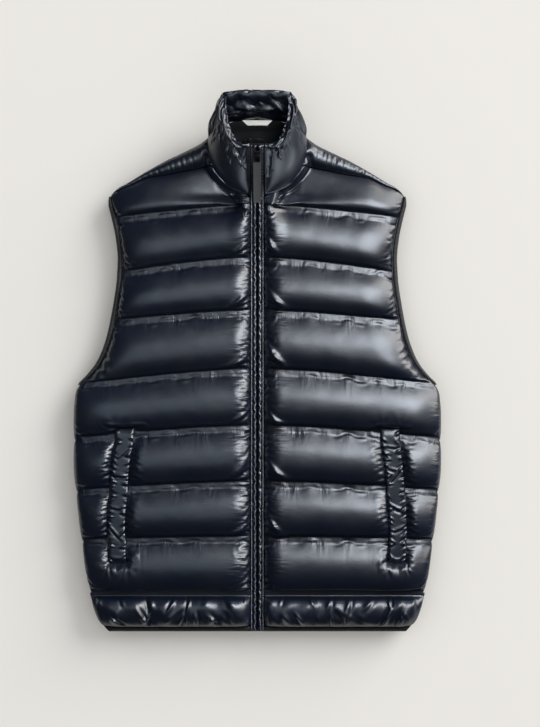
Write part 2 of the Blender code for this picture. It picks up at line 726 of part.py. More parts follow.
def main():
    for old in list(bpy.data.objects):
        bpy.data.objects.remove(old)
    shell = finish("shell_nylon", (0.012, 0.014, 0.024), 0.28)
    lining = finish("lining_nylon", (0.010, 0.011, 0.017), 0.45)
    elastic = finish("elastic_binding", (0.008, 0.009, 0.011), 0.7)
    tape = finish("zip_tape", (0.010, 0.010, 0.013), 0.8)
    teeth = finish("zip_teeth", (0.012, 0.012, 0.014), 0.35)
    metal = finish("slider_metal", (0.03, 0.03, 0.033), 0.35, 1.0)
    rubber = finish("pull_rubber", (0.055, 0.055, 0.056), 0.75)
    label = finish("label_satin", (0.78, 0.78, 0.74), 0.6)
    root = bpy.data.objects.new("vest", None)
    bpy.context.scene.collection.objects.link(root)
    build_back(shell, root)
    for name, side in SIDES.items():
        build_front(name, side, shell, root)
        build_pocket_welt(name, side, shell, root)
        build_hem_channel(name, side, shell, root)
        build_shoulder(name, side, shell, root)
        build_hem_binding(f"front_{name}", "front", side * ZIP_EDGE, side * half_width(0), elastic, root)
        for face in ("front", "back"):
            build_armhole_binding(name, face, side, elastic, root)
    build_hem_binding("back", "back", -half_width(0), half_width(0), elastic, root)
    build_collar(shell, root)
    build_zip({"tape": tape, "shell": shell, "teeth": teeth, "lining": lining}, root)
    build_slider(metal, root)
    build_pull(metal, rubber, root)
    build_label(label, root)
    centre_on_origin(root)


main()
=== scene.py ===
"""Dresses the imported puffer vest: slack quilted cloth, trim, zip hardware, studio and camera.

Lengths in the cut's tables are millimetres. Heights along the vest count up from the hem edge,
x points to the wearer's left and z up from the ground. Finished meshes are in metres.
"""

import logging
import math
from dataclasses import dataclass, field
from enum import Enum
from typing import TypeVar

import bmesh
import bpy
import numpy as np
from mathutils import Matrix, Vector

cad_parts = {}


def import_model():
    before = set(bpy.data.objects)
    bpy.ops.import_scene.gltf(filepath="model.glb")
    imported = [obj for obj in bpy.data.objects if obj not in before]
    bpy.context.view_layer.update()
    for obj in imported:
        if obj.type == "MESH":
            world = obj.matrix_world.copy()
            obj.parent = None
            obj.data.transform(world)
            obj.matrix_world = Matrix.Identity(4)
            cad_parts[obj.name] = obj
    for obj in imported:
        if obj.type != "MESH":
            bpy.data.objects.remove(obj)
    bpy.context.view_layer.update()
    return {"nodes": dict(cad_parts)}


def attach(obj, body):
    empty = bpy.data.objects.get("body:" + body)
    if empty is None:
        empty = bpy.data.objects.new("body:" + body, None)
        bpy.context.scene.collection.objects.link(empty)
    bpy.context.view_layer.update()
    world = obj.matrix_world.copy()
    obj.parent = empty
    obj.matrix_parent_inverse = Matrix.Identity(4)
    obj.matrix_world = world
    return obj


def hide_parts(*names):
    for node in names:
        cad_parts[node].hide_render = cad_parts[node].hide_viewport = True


log = logging.getLogger("vest")

MM = 0.001
TO_METRES = Matrix.Diagonal((MM, MM, MM, 1))
HEM_SHIFT = 392.955  # the hem edge's distance from the origin
LEVEL_WRINKLES, UPRIGHT_WRINKLES = "level_wrinkles", "upright_wrinkles"
VEST_BODY, PULL_BODY = "vest", "pull"

WAVE_SHARES = (0.7, 0.95, 1.2, 1.5)  # lengths of the waves that are added up, of the usual one
WAVE_LEAN = 0.3
WAVE_DRIFT = 0.3
DRIFT_LENGTH = 4.1
VALLEY_STEP = 1.5  # from a fold's line to the valley beside it, in half widths
VALLEY_DEPTH = 0.8  # of the fold's height
GATHER_START = (3, 10)  # the first fold's distance from a seam's end
GATHER_MARGIN = 4
GATHER_SLANT = 0.7
GATHER_HEIGHT = (0.3, 1.1)

ACROSS = np.array([1.0, 0.0, 0.0])  # the wearer's left
BLOCK_CORNERS = ((-1, -1), (1, -1), (1, 1), (-1, 1))
BLOCK_FACES = ((0, 1, 2, 3), (4, 5, 6, 7), (0, 1, 5, 4), (1, 2, 6, 5), (2, 3, 7, 6), (3, 0, 4, 7))

Spot = tuple[float, float]  # a place on a plan
Span = tuple[float, float]  # a least and a greatest value
Fold = tuple[Spot, Spot, float, float]  # start, end, height and half width
Size = tuple[float, float, float]
Colour = tuple[float, float, float]
Grid = np.ndarray
Values = Grid | float
Faces = list[tuple[int, ...]]
Piece = bpy.types.Object
NodeTree = bpy.types.NodeTree
Socket = bpy.types.NodeSocket
Pick = TypeVar("Pick")


class Side(Enum):
    """A side of the vest as its wearer names it, with the sign of its x."""

    LEFT = 1
    RIGHT = -1

    @property
    def label(self) -> str:
        """The side's name inside piece names."""
        return self.name.lower()

    def pick(self, pair: tuple[Pick, Pick]) -> Pick:
        """This side's value of a pair, left one first."""
        return pair[0] if self is Side.LEFT else pair[1]


class Face(Enum):
    """Which layer of the laid-out vest a trim strip belongs to."""

    FRONT = 1
    BACK = -1


# Curves and grids


class SmoothCurve:
    """A smooth curve through the rows of a table, read along the table's first column."""

    def __init__(self, rows: list[tuple[float, ...]]) -> None:
        """Prepares limited slopes, so that the curve adds no waves of its own.

        Args:
            rows: The table, sorted by its first column.
        """
        table = np.array(rows, dtype=float)
        self.keys = table[:, 0]
        self.values = table[:, 1:]
        steps = np.diff(self.values, axis=0) / np.diff(self.keys)[:, None]
        self.slopes = np.empty_like(self.values)
        self.slopes[0], self.slopes[-1] = steps[0], steps[-1]
        product = steps[1:] * steps[:-1]
        total = np.where(np.abs(steps[1:] + steps[:-1]) < 1e-12, 1.0, steps[1:] + steps[:-1])
        self.slopes[1:-1] = np.where(product > 0, 2 * product / total, 0.0)

    def __call__(self, at: Values) -> Grid:
        """Reads the curve.

        Args:
            at: Places along the first column.
        Returns:
            The other columns, or one plain array where there is only one.
        """
        at = np.asarray(at, dtype=float)
        place = np.clip(np.searchsorted(self.keys, at, side="right") - 1, 0, len(self.keys) - 2)
        span = self.keys[place + 1] - self.keys[place]
        t = np.clip((at - self.keys[place]) / span, 0, 1)[..., None]
        span = span[..., None]
        result = (
            (2 * t**3 - 3 * t**2 + 1) * self.values[place]
            + (t**3 - 2 * t**2 + t) * self.slopes[place] * span
            + (3 * t**2 - 2 * t**3) * self.values[place + 1]
            + (t**3 - t**2) * self.slopes[place + 1] * span
        )
        return result[..., 0] if result.shape[-1] == 1 else result


def mix(first: Values, last: Values, share: Values) -> Values:
    """The value a share of the way from first to last."""
    return first + (last - first) * share


def smooth_step(share: Values) -> Grid:
    """An easing from 0 to 1."""
    share = np.clip(share, 0.0, 1.0)
    return share * share * (3 - 2 * share)


def rounded(distance: Values, width: float) -> Grid:
    """How full a rolled edge is, from 0 at the edge to 1 one roll's width inside it."""
    return np.sqrt(1 - (1 - np.clip(np.asarray(distance) / width, 0, 1)) ** 2)


def puff(share: Values) -> Grid:
    """The section of a filled baffle, from one seam to the next."""
    return np.maximum(0.0, 1 - np.abs(2 * np.asarray(share) - 1) ** 2.4) ** 0.55


def uneven_waves(along: Grid, lean: Grid, length: float, seed: int) -> Grid:
    """Waves of several lengths and leans, as a start for creases.

    Args:
        along: Distance across the creases.
        lean: Distance along the creases, which tilts each wave a little.
        length: The usual distance from crease to crease.
        seed: Which set of waves.
    Returns:
        Heights of about one unit.
    """
    chance = np.random.default_rng(seed)
    total = np.zeros_like(along)
    for share in WAVE_SHARES:
        phase = chance.uniform(0, 2 * math.pi)
        drift = WAVE_DRIFT * length * np.sin(along / (DRIFT_LENGTH * length) + phase)
        place = along + WAVE_LEAN * chance.normal() * lean + drift
        total += np.sin(2 * math.pi * place / (share * length) + phase)
    return total / 2


def crease(plan: Grid, start: Spot, end: Spot, width: float) -> Grid:
    """The profile of one fold of cloth along a line.

    Args:
        plan: Plan points, x and y first.
        start: Where the fold begins.
        end: Where it runs out.
        width: Its half width.
    Returns:
        1 on the fold's line, falling off to 0 beside it and at its ends.
    """
    first, last = np.array(start), np.array(end)
    run = last - first
    share = np.clip(((plan[..., :2] - first) @ run) / (run @ run), 0, 1)
    away = np.linalg.norm(plan[..., :2] - first - share[..., None] * run, axis=-1)
    return np.exp(-((away / width) ** 2)) * np.sin(math.pi * np.clip(0.08 + 0.84 * share, 0, 1))


def fold(plan: Grid, start: Spot, end: Spot, width: float) -> Grid:
    """A fold of cloth with a valley along one side.

    Args:
        plan: Plan points, x and y first.
        start: Where the fold begins.
        end: Where it runs out.
        width: Its half width.
    Returns:
        1 on the fold's line, below 0 in the valley and 0 elsewhere.
    """
    first, last = np.array(start, dtype=float), np.array(end, dtype=float)
    run = last - first
    beside = VALLEY_STEP * width * np.array([-run[1], run[0]]) / np.linalg.norm(run)
    valley = crease(plan, first + beside, last + beside, width)
    return crease(plan, first, last, width) - VALLEY_DEPTH * valley


def gathers(
    plan: Grid, from_y: float, spacing: Span, reach: Span, width: Span, seed: int
) -> Grid:
    """Slanting folds at uneven distances along a seam.

    Args:
        plan: Plan points: the distance along the seam first, then across it.
        from_y: Where the seam lies across.
        spacing: The least and greatest distance between two folds.
        reach: The least and greatest length of a fold, below 0 for folds that run back.
        width: The least and greatest half width of a fold.
        seed: Which set of folds.
    Returns:
        Heights of about one unit.
    """
    chance = np.random.default_rng(seed)
    total = np.zeros(plan.shape[:2])
    spot = float(plan[..., 0].min()) + chance.uniform(*GATHER_START)
    while spot < plan[..., 0].max() - GATHER_MARGIN:
        length = chance.uniform(*reach)
        end = (spot + GATHER_SLANT * abs(length) * chance.normal(), from_y + length)
        height = chance.uniform(*GATHER_HEIGHT)
        total += height * fold(plan, (spot, from_y), end, chance.uniform(*width))
        spot += chance.uniform(*spacing)
    return total


def spans(grid: Grid, axis: int) -> Grid:
    """The distances between neighbours of a grid along one of its axes."""
    return np.linalg.norm(np.diff(grid, axis=axis), axis=2)


def distance_along(line: Grid) -> Grid:
    """How far each point of a line lies from its start."""
    return np.concatenate([[0], np.cumsum(np.linalg.norm(np.diff(line, axis=0), axis=1))])


def sewn_border(rows: int, columns: int) -> Grid:
    """A grid's held points where only its four edges are sewn down.

    Args:
        rows: The grid's rows.
        columns: Its columns.
    Returns:
        1 on the edges and 0 inside.
    """
    held = np.zeros((rows, columns))
    held[[0, -1]] = 1
    held[:, [0, -1]] = 1
    return held


# The cut


@dataclass(frozen=True)
class VestCut:
    """The vest's pattern: outline, quilting and levels, shared by all of its pieces."""

    mid_level: float = 22.0
    front_level: float = 22.35
    back_edge_level: float = 18.2
    seam_gap: float = 0.35
    band_width: float = 10.5
    zip_edge: float = 10.2
    seam_bend: float = 1.4
    side_notch: float = 3.0
    underarm_y: float = 344.0
    binding_low_y: float = 359.0
    binding_start_y: float = 378.0
    binding_width: float = 7.0
    hem_binding_height: float = 8.0
    neck_centre_y: float = 720.0
    neck_radius: float = 80.0
    zip_lift_radius: float = 190.0
    collar_lift_radius: float = 90.0
    neck_lift_height: float = 16.0
    lift_half: float = 12.0  # how far beside the zip the neck's lift starts to fall off
    chest_fall: Spot = (0.6, 34.0)  # by which share the chest falls off first, and how far aside
    chest_half: float = 125.0
    chest_top: Span = (598.0, 28.0)  # where the chest's lift starts to run out, and over what height
    seams: tuple[Spot, ...] = (  # each quilting seam's height at the zip and at the side
        (56.5, 57), (135.5, 131), (215.5, 203), (297, 278), (379, 357), (464, 449), (541, 519.5),
        (616, 599),
    )
    outline: SmoothCurve = SmoothCurve([
        (0, 216), (8, 223.5), (20, 232), (52, 243), (91, 250), (135, 257), (172, 261), (200, 264.5),
        (240, 267.5), (280, 268), (319, 267.5), (346, 265), (360, 261), (372, 250), (388, 237),
        (404, 228.5), (430, 219.5), (477, 210), (512, 205), (543, 203.5), (570, 206), (602, 212.5),
        (634, 221.5),
    ])
    front_top: SmoothCurve = SmoothCurve([
        (11, 632.4), (28.5, 640.7), (47.2, 654), (60.5, 669.5), (66, 677), (102, 671), (131, 665),
        (160, 660), (183, 650), (200, 643.5), (214.2, 633),
    ])
    back_top: SmoothCurve = SmoothCurve([
        (0, 746), (30, 744), (50, 737), (66, 724), (80, 712), (115, 694), (131, 686.5), (160, 670.5),
        (190, 652), (208, 641), (214.2, 633),
    ])
    top_start: float = 11.0
    top_end: float = 214.2
    pocket_line: SmoothCurve = SmoothCurve([(0, 0.795), (99, 0.795), (297, 0.709), (360, 0.70), (787, 0.70)])
    pocket_half_share: float = 0.056
    pocket_low: float = 99.0
    pocket_high: float = 297.0
    zip_line: SmoothCurve = SmoothCurve([
        (0, 25), (300, 25), (515, 25), (545, 26.4), (575, 30.6), (605, 36.4), (634, 42), (668, 61.5),
        (706, 84.5), (720, 93),
    ])

    def side_fullness(self, height: Grid) -> Grid:
        """How full the baffle is at the side seam.

        Args:
            height: Heights along the vest.
        Returns:
            0 on a quilting seam, 1 between two.
        """
        edges = np.array([side for _, side in self.seams])
        place = np.clip(np.searchsorted(edges, height) - 1, 0, len(edges) - 2)
        share = (height - edges[place]) / (edges[place + 1] - edges[place])
        return np.where((share >= 0) & (share <= 1), puff(np.clip(share, 0, 1)), 1.0)

    def panel_half_width(self, height: Values) -> Grid:
        """A panel's outer edge: the outline less the armhole's binding, notched at the seams.

        Args:
            height: Heights along the vest.
        Returns:
            The edge's distances from the middle.
        """
        height = np.asarray(height, dtype=float)
        span = self.binding_start_y - self.underarm_y
        binding = (self.binding_width + self.seam_gap) * smooth_step((height - self.underarm_y) / span)
        below_arm = smooth_step((self.underarm_y - height) / 20)
        notch = self.side_notch * (1 - self.side_fullness(height)) * below_arm
        return self.outline(height) - binding - notch

    def neck_lift(self, x: Grid, y: Grid) -> Grid:
        """How far the neck holds the front off the back, steeply round the collar.

        Args:
            x: Distances from the middle.
            y: Heights along the vest.
        Returns:
            A lift for every point.
        """
        aside, down = np.abs(x), self.neck_centre_y - y
        beside = aside - self.lift_half
        reach = mix(self.zip_lift_radius, self.collar_lift_radius, smooth_step(beside / 20))
        at_collar = smooth_step((reach - np.hypot(x, down)) / (reach - self.neck_radius))
        on_chest = smooth_step((self.zip_lift_radius - down) / (self.zip_lift_radius - self.neck_radius))
        share, width = self.chest_fall
        on_chest = on_chest * (1 - share * smooth_step(beside / width))
        on_chest = on_chest * (1 - smooth_step(beside / self.chest_half))
        start, height = self.chest_top
        below_yoke = 1 - smooth_step((y - start) / height)
        on_chest = on_chest * mix(1, below_yoke, smooth_step((aside - 14) / 22))
        return self.neck_lift_height * np.maximum(at_collar, on_chest)

    def zip_frame(self, y: Grid) -> tuple[Grid, Grid]:
        """Points on the zip's line and the directions out of the cloth there.

        Args:
            y: Heights along the vest.
        Returns:
            Points and unit directions, each with three columns.
        """
        rise = self.zip_line(y + 1) - self.zip_line(y - 1)
        zero = np.zeros_like(y)
        out = np.stack([zero, -rise, np.full_like(y, 2.0)], -1)
        out /= np.linalg.norm(out, axis=-1, keepdims=True)
        return np.stack([zero, y, self.zip_line(y)], -1), out


CUT = VestCut()


# Cloth


@dataclass
class SlackCloth:
    """A grid of cloth that holds its cut length: spare cloth between held points gathers into creases.

    Each step pushes the free points by the filling's pressure and the cloth's weight, draws them
    towards the filling's level, and then restores the distances between neighbours that the
    flat cut gives.
    """

    points: Grid
    held: Grid
    down: Grid
    across: Grid
    shape: Grid  # the unwrinkled grid, whose cells' slants the cloth keeps
    pressure: float = 0.008
    sag: float = 0.006
    bend: float = 0.05
    shear: float = 0.3
    damping: float = 0.8
    floor: float | Grid | None = None
    filling: Grid | None = None
    support: float = 0.0
    links: list[tuple] = field(default_factory=list)

    def __post_init__(self) -> None:
        """Prepares each group of links so that no two links of a group share a point."""
        self.points = self.points.astype(np.float32)
        self.free = (1.0 - self.held).astype(np.float32)
        down, across = self.down.astype(np.float32), self.across.astype(np.float32)
        rows, columns = self.free.shape
        every = slice(None)
        left, right = slice(0, columns - 1), slice(1, columns)
        rising, falling = self._slants()
        for start in (0, 1):
            down_count, across_count = (rows - start) // 2, (columns - start) // 2
            low = slice(start, start + 2 * down_count, 2)
            high = slice(start + 1, start + 2 * down_count, 2)
            self._link((low, every), (high, every), down[start::2][:down_count], 1.0)
            near = slice(start, start + 2 * across_count, 2)
            far = slice(start + 1, start + 2 * across_count, 2)
            self._link((every, near), (every, far), across[:, start::2][:, :across_count], 1.0)
            self._link((low, left), (high, right), rising[start::2][:down_count], self.shear)
            self._link((low, right), (high, left), falling[start::2][:down_count], self.shear)
        self._add_bending(down, across)

    def _slants(self) -> tuple[Grid, Grid]:
        """The cut lengths of the two diagonals of every cell.

        Returns:
            The rising diagonals and the falling ones.
        """
        shape = self.shape
        down_now, across_now = spans(shape, 0), spans(shape, 1)
        cut = (self.down[:, 1:] + self.down[:, :-1]) ** 2 + (self.across[1:] + self.across[:-1]) ** 2
        now = (down_now[:, 1:] + down_now[:, :-1]) ** 2 + (across_now[1:] + across_now[:-1]) ** 2
        share = np.sqrt(cut / np.maximum(now, 1e-9))
        rising = np.linalg.norm(shape[1:, 1:] - shape[:-1, :-1], axis=2) * share
        falling = np.linalg.norm(shape[1:, :-1] - shape[:-1, 1:], axis=2) * share
        return rising.astype(np.float32), falling.astype(np.float32)

    def _add_bending(self, down: Grid, across: Grid) -> None:
        """Links every second neighbour, which keeps creases from becoming too sharp.

        Args:
            down: The cut's distances between rows.
            across: Those between columns.
        """
        rows, columns = self.free.shape
        every = slice(None)
        for start in range(4):
            count = len(range(start, rows - 2, 4))
            near = slice(start, start + 4 * count, 4)
            far = slice(start + 2, start + 2 + 4 * count, 4)
            lengths = (down[:-1] + down[1:])[start::4][:count]
            self._link((near, every), (far, every), lengths, self.bend)
            count = len(range(start, columns - 2, 4))
            near = slice(start, start + 4 * count, 4)
            far = slice(start + 2, start + 2 + 4 * count, 4)
            lengths = (across[:, :-1] + across[:, 1:])[:, start::4][:, :count]
            self._link((every, near), (every, far), lengths, self.bend)

    def _link(self, first: tuple, second: tuple, rest: Grid, stiffness: float) -> None:
        """Adds one group of links.

        Args:
            first: The slices of the links' first points.
            second: The slices of their second points.
            rest: The cut's distance for each link.
            stiffness: The share of a wrong distance that one step mends.
        """
        one, two = self.free[first], self.free[second]
        total = np.maximum(one + two, 1e-6)
        shares = [(stiffness * free / total)[..., None] for free in (one, two)]
        self.links.append((first, second, rest, *shares))

    def _outward(self) -> Grid:
        """Unit directions out of the cloth.

        Returns:
            A direction for every point.
        """
        along = np.gradient(self.points, axis=1)
        up = np.gradient(self.points, axis=0)
        normal = np.cross(along, up)
        return normal / np.maximum(np.linalg.norm(normal, axis=2, keepdims=True), 1e-9)

    def relax(self, steps: int) -> Grid:
        """Lets the cloth settle.

        Args:
            steps: How many steps it gets.
        Returns:
            The settled points.
        """
        free = self.free[..., None]
        before = self.points.copy()
        push = np.zeros_like(self.points)
        for step in range(steps):
            if step % 4 == 0:
                push = self._outward().astype(np.float32) * self.pressure
                push[..., 1] -= self.sag
                push *= free
            moved = (self.points - before) * self.damping * free
            before = self.points.copy()
            self.points += moved + push
            if self.filling is not None:
                self.points[..., 2] += self.free * self.support * (self.filling - self.points[..., 2])
            self._restore_lengths()
            if self.floor is not None:
                np.maximum(self.points[..., 2], self.floor, out=self.points[..., 2])
        return self.points.astype(float)

    def _restore_lengths(self) -> None:
        """Moves each pair of neighbours back towards its cut distance."""
        for first, second, rest, share_one, share_two in self.links:
            gap = self.points[second] - self.points[first]
            length = np.sqrt((gap * gap).sum(2))
            gap *= ((length - rest) / np.maximum(length, 1e-9))[..., None]
            self.points[first] += share_one * gap
            self.points[second] -= share_two * gap


def soften(points: Grid, held: Grid, share: float = 0.35) -> Grid:
    """Evens out a grid's smallest bumps.

    Args:
        points: The grid.
        held: 1 where a point stays.
        share: How far a point moves to the middle of its neighbours.
    Returns:
        The softened grid.
    """
    middle = points.copy()
    upright = points[:-2, 1:-1] + points[2:, 1:-1]
    middle[1:-1, 1:-1] = (upright + points[1:-1, :-2] + points[1:-1, 2:]) / 4
    return points + (middle - points) * (share * (1 - held))[..., None]


# Meshes


def to_world(points: Grid) -> Grid:
    """Turns the cut's millimetres, counted from the hem, into metres from the origin."""
    return (np.asarray(points) - np.array([0.0, HEM_SHIFT, 0.0])) * MM


def add_piece(name: str, corners: Grid, faces: Faces) -> Piece:
    """Makes a smooth mesh object at the origin with its faces turned outwards.

    Args:
        name: The piece's name.
        corners: Its points in metres.
        faces: Its faces as indices of points.
    Returns:
        The new object.
    """
    mesh = bpy.data.meshes.new(name)
    mesh.from_pydata(np.asarray(corners).tolist(), [], faces)
    work = bmesh.new()
    work.from_mesh(mesh)
    bmesh.ops.recalc_face_normals(work, faces=work.faces)
    work.to_mesh(mesh)
    work.free()
    mesh.shade_smooth()
    piece = bpy.data.objects.new(name, mesh)
    bpy.context.scene.collection.objects.link(piece)
    return piece


def mark_wrinkles(piece: Piece, name: str, strength: Grid) -> None:
    """Stores how wrinkled each point of a pad's skin is, for its finish to read.

    Args:
        piece: The pad.
        name: The attribute's name.
        strength: 0 to 1 for each point of the skin's grid.
    """
    values = np.zeros(len(piece.data.vertices), dtype=np.float32)
    values[: strength.size] = strength.ravel()
    piece.data.attributes.new(name, "FLOAT", "POINT").data.foreach_set("value", values)


def grid_faces(rows: int, columns: int, start: int = 0) -> Faces:
    """The four-sided faces of a grid whose points are numbered row by row."""
    corners = [start + r * columns + c for r in range(rows - 1) for c in range(columns - 1)]
    return [(corner, corner + 1, corner + columns + 1, corner + columns) for corner in corners]


def rim_loop(rows: int, columns: int) -> list[int]:
    """The numbers of a grid's border points, in order round it."""
    return (
        list(range(columns))
        + [r * columns + columns - 1 for r in range(1, rows)]
        + [(rows - 1) * columns + c for c in range(columns - 2, -1, -1)]
        + [r * columns for r in range(rows - 2, 0, -1)]
    )


def closed_pad(name: str, skin: Grid, floor: float) -> Piece:
    """A pad with a shaped skin, an upright border and a flat face on one level.

    Args:
        name: The piece's name.
        skin: The skin's grid in the cut's millimetres.
        floor: The level of the flat face.
    Returns:
        The closed piece.
    """
    rows, columns = skin.shape[:2]
    top = skin.reshape(-1, 3)
    loop = rim_loop(rows, columns)
    low = top[loop].copy()
    low[:, 2] = floor
    count = len(top)
    under = list(range(count, count + len(loop)))
    faces = grid_faces(rows, columns)
    for n, corner in enumerate(loop):
        after = (n + 1) % len(loop)
        faces.append((corner, loop[after], under[after], under[n]))
    faces.append(tuple(under))
    return add_piece(name, to_world(np.concatenate([top, low])), faces)


def closed_strip(name: str, top: Grid, under: Grid) -> Piece:
    """A closed wall between two matching grids.

    Args:
        name: The piece's name.
        top: The upper grid in the cut's millimetres.
        under: The lower grid.
    Returns:
        The closed piece.
    """
    rows, columns = top.shape[:2]
    count = rows * columns
    faces = grid_faces(rows, columns) + grid_faces(rows, columns, count)
    loop = rim_loop(rows, columns)
    for n, corner in enumerate(loop):
        after = loop[(n + 1) % len(loop)]
        faces.append((corner, after, after + count, corner + count))
    corners = np.concatenate([top.reshape(-1, 3), under.reshape(-1, 3)])
    return add_piece(name, to_world(corners), faces)


# Finishes


class Finish:
    """A procedural material, made once and shared by all pieces that wear it."""

    made: dict[str, bpy.types.Material] = {}
    dark: Colour
    light: Colour

    def material(self) -> bpy.types.Material:
        """The finish's material.

        Returns:
            The material, made at the first call.
        """
        name = type(self).__name__
        if name not in Finish.made:
            material = bpy.data.materials.new(name)
            material.use_nodes = True
            self.mix_nodes(material.node_tree)
            Finish.made[name] = material
        return Finish.made[name]

    def mix_nodes(self, tree: NodeTree) -> None:
        """Sets up the material's nodes; each finish has its own.

        Args:
            tree: The material's nodes.
        """
        raise NotImplementedError

    def paint(self, tree: NodeTree, pattern: Socket) -> None:
        """Colours the shader between the finish's two tones, by a pattern."""
        colour = two_tone(tree, pattern, self.dark, self.light)
        tree.links.new(colour, shader_of(tree).inputs["Base Color"])

    def dress(self, piece: Piece) -> None:
        """Puts the finish on a piece."""
        piece.data.materials.clear()
        piece.data.materials.append(self.material())


def shader_of(tree: NodeTree) -> bpy.types.Node:
    """The material's shader."""
    return tree.nodes["Principled BSDF"]


def set_inputs(target: bpy.types.Node, **inputs: object) -> None:
    """Sets a node's inputs by name, with underscores for spaces."""
    for key, value in inputs.items():
        target.inputs[key.replace("_", " ")].default_value = value


def node(tree: NodeTree, kind: str, **inputs: object) -> bpy.types.Node:
    """Adds a node and sets its inputs by name.

    Args:
        tree: The material's nodes.
        kind: The node's type.
        inputs: Values by socket name, with underscores for spaces.
    Returns:
        The node.
    """
    made = tree.nodes.new(kind)
    set_inputs(made, **inputs)
    return made


def place_of(tree: NodeTree) -> Socket:
    """The socket that gives a point's place on the object, in metres."""
    return tree.nodes.new("ShaderNodeTexCoord").outputs["Object"]


def noise(tree: NodeTree, scale: float, detail: float = 2.0, stretch: Size = (1, 1, 1)) -> Socket:
    """A noise pattern over the object.

    Args:
        tree: The material's nodes.
        scale: Patches per metre.
        detail: How much finer noise is added.
        stretch: Scale along each axis.
    Returns:
        The pattern's value, about 0.5 in the mean.
    """
    turn = node(tree, "ShaderNodeMapping", Scale=stretch)
    tree.links.new(place_of(tree), turn.inputs["Vector"])
    pattern = node(tree, "ShaderNodeTexNoise", Scale=scale, Detail=detail)
    tree.links.new(turn.outputs["Vector"], pattern.inputs["Vector"])
    return pattern.outputs["Fac"]


def ramp(tree: NodeTree, value: Socket, low: float, high: float, source: Span = (0.3, 0.7)) -> Socket:
    """Maps a pattern's values.

    Args:
        tree: The material's nodes.
        value: The pattern's value.
        low: The result for the least value.
        high: The result for the greatest.
        source: The least and greatest value that are told apart.
    Returns:
        The result.
    """
    start, end = source
    spread = node(tree, "ShaderNodeMapRange", From_Min=start, From_Max=end, To_Min=low, To_Max=high)
    tree.links.new(value, spread.inputs["Value"])
    return spread.outputs["Result"]


def two_tone(tree: NodeTree, value: Socket, dark: Colour, light: Colour) -> Socket:
    """A colour between two.

    Args:
        tree: The material's nodes.
        value: A pattern's value, 0 for the dark colour and 1 for the light one.
        dark: The dark colour.
        light: The light colour.
    Returns:
        The colour.
    """
    blend = tree.nodes.new("ShaderNodeMix")
    blend.data_type = "RGBA"
    ends = [socket for socket in blend.inputs if socket.type == "RGBA"]
    for socket, colour in zip(ends, (dark, light)):
        socket.default_value = (*colour, 1)
    tree.links.new(value, blend.inputs["Factor"])
    return next(socket for socket in blend.outputs if socket.type == "RGBA")


def roughen(tree: NodeTree, pattern: Socket, smoothest: float, roughest: float) -> None:
    """Varies the shader's roughness between two values, by a pattern."""
    rough = ramp(tree, pattern, smoothest, roughest)
    tree.links.new(rough, shader_of(tree).inputs["Roughness"])


def sum_up(tree: NodeTree, operation: str, first: Socket, second: Socket | None = None) -> Socket:
    """Adds a sum's node.

    Args:
        tree: The material's nodes.
        operation: The sum's kind.
        first: Its first value.
        second: Its second value, 0.5 where there is none.
    Returns:
        The result.
    """
    made = node(tree, "ShaderNodeMath")
    made.operation = operation
    tree.links.new(first, made.inputs[0])
    if second is not None:
        tree.links.new(second, made.inputs[1])
    return made.outputs["Value"]


def threads(tree: NodeTree, pitch: float) -> Socket:
    """A plain weave's height pattern.

    Args:
        tree: The material's nodes.
        pitch: The distance from thread to thread in metres.
    Returns:
        The pattern's value.
    """
    place = place_of(tree)
    waves = []
    for direction in ("X", "Y"):
        wave = node(tree, "ShaderNodeTexWave", Scale=math.pi / (10 * pitch), Distortion=0.3, Detail=0.0)
        wave.bands_direction = direction
        tree.links.new(place, wave.inputs["Vector"])
        waves.append(wave.outputs["Fac"])
    return sum_up(tree, "MAXIMUM", *waves)


def marked_noise(tree: NodeTree, name: str, pattern: Socket) -> Socket:
    """A pattern that shows only where a piece carries an attribute.

    Args:
        tree: The material's nodes.
        name: The attribute's name.
        pattern: The pattern, with 0.5 as its middle.
    Returns:
        The masked pattern, with 0 as its middle.
    """
    marked = tree.nodes.new("ShaderNodeAttribute")
    marked.attribute_name = name
    return sum_up(tree, "MULTIPLY", sum_up(tree, "SUBTRACT", pattern), marked.outputs["Fac"])


def raise_surface(tree: NodeTree, *layers: tuple[Socket, float, float]) -> None:
    """Adds bump layers to the shader.

    Args:
        tree: The material's nodes.
        layers: Pattern, strength and height in metres of each layer.
    """
    last = None
    for pattern, strength, height in layers:
        bump = node(tree, "ShaderNodeBump", Strength=strength, Distance=height)
        tree.links.new(pattern, bump.inputs["Height"])
        if last is not None:
            tree.links.new(last, bump.inputs["Normal"])
        last = bump.outputs["Normal"]
    tree.links.new(last, shader_of(tree).inputs["Normal"])


@dataclass(frozen=True)
class OuterNylon(Finish):
    """Glossy dark navy nylon with a fine weave and small creases."""

    dark: Colour = (0.0013, 0.0048, 0.0160)
    light: Colour = (0.0024, 0.0070, 0.0215)
    smoothest: float = 0.31
    roughest: float = 0.39
    thread_pitch: float = 0.0005

    def mix_nodes(self, tree: NodeTree) -> None:
        """Sets up the weave, the gloss and its unevenness."""
        set_inputs(shader_of(tree), Specular_IOR_Level=0.75, Coat_Weight=0.12, Coat_Roughness=0.2)
        self.paint(tree, noise(tree, scale=9.0, detail=3.0))
        roughen(tree, noise(tree, scale=26.0, detail=3.0), self.smoothest, self.roughest)
        creases = noise(tree, scale=42.0, detail=4.0, stretch=(1.0, 1.5, 1.0))
        level = noise(tree, scale=170.0, stretch=(0.2, 1.0, 0.5))
        upright = noise(tree, scale=130.0, stretch=(1.0, 0.22, 0.5))
        raise_surface(
            tree,
            (creases, 0.2, 0.0012),
            (marked_noise(tree, LEVEL_WRINKLES, level), 0.8, 0.0036),
            (marked_noise(tree, UPRIGHT_WRINKLES, upright), 0.8, 0.0036),
            (threads(tree, self.thread_pitch), 0.12, 0.00004),
        )


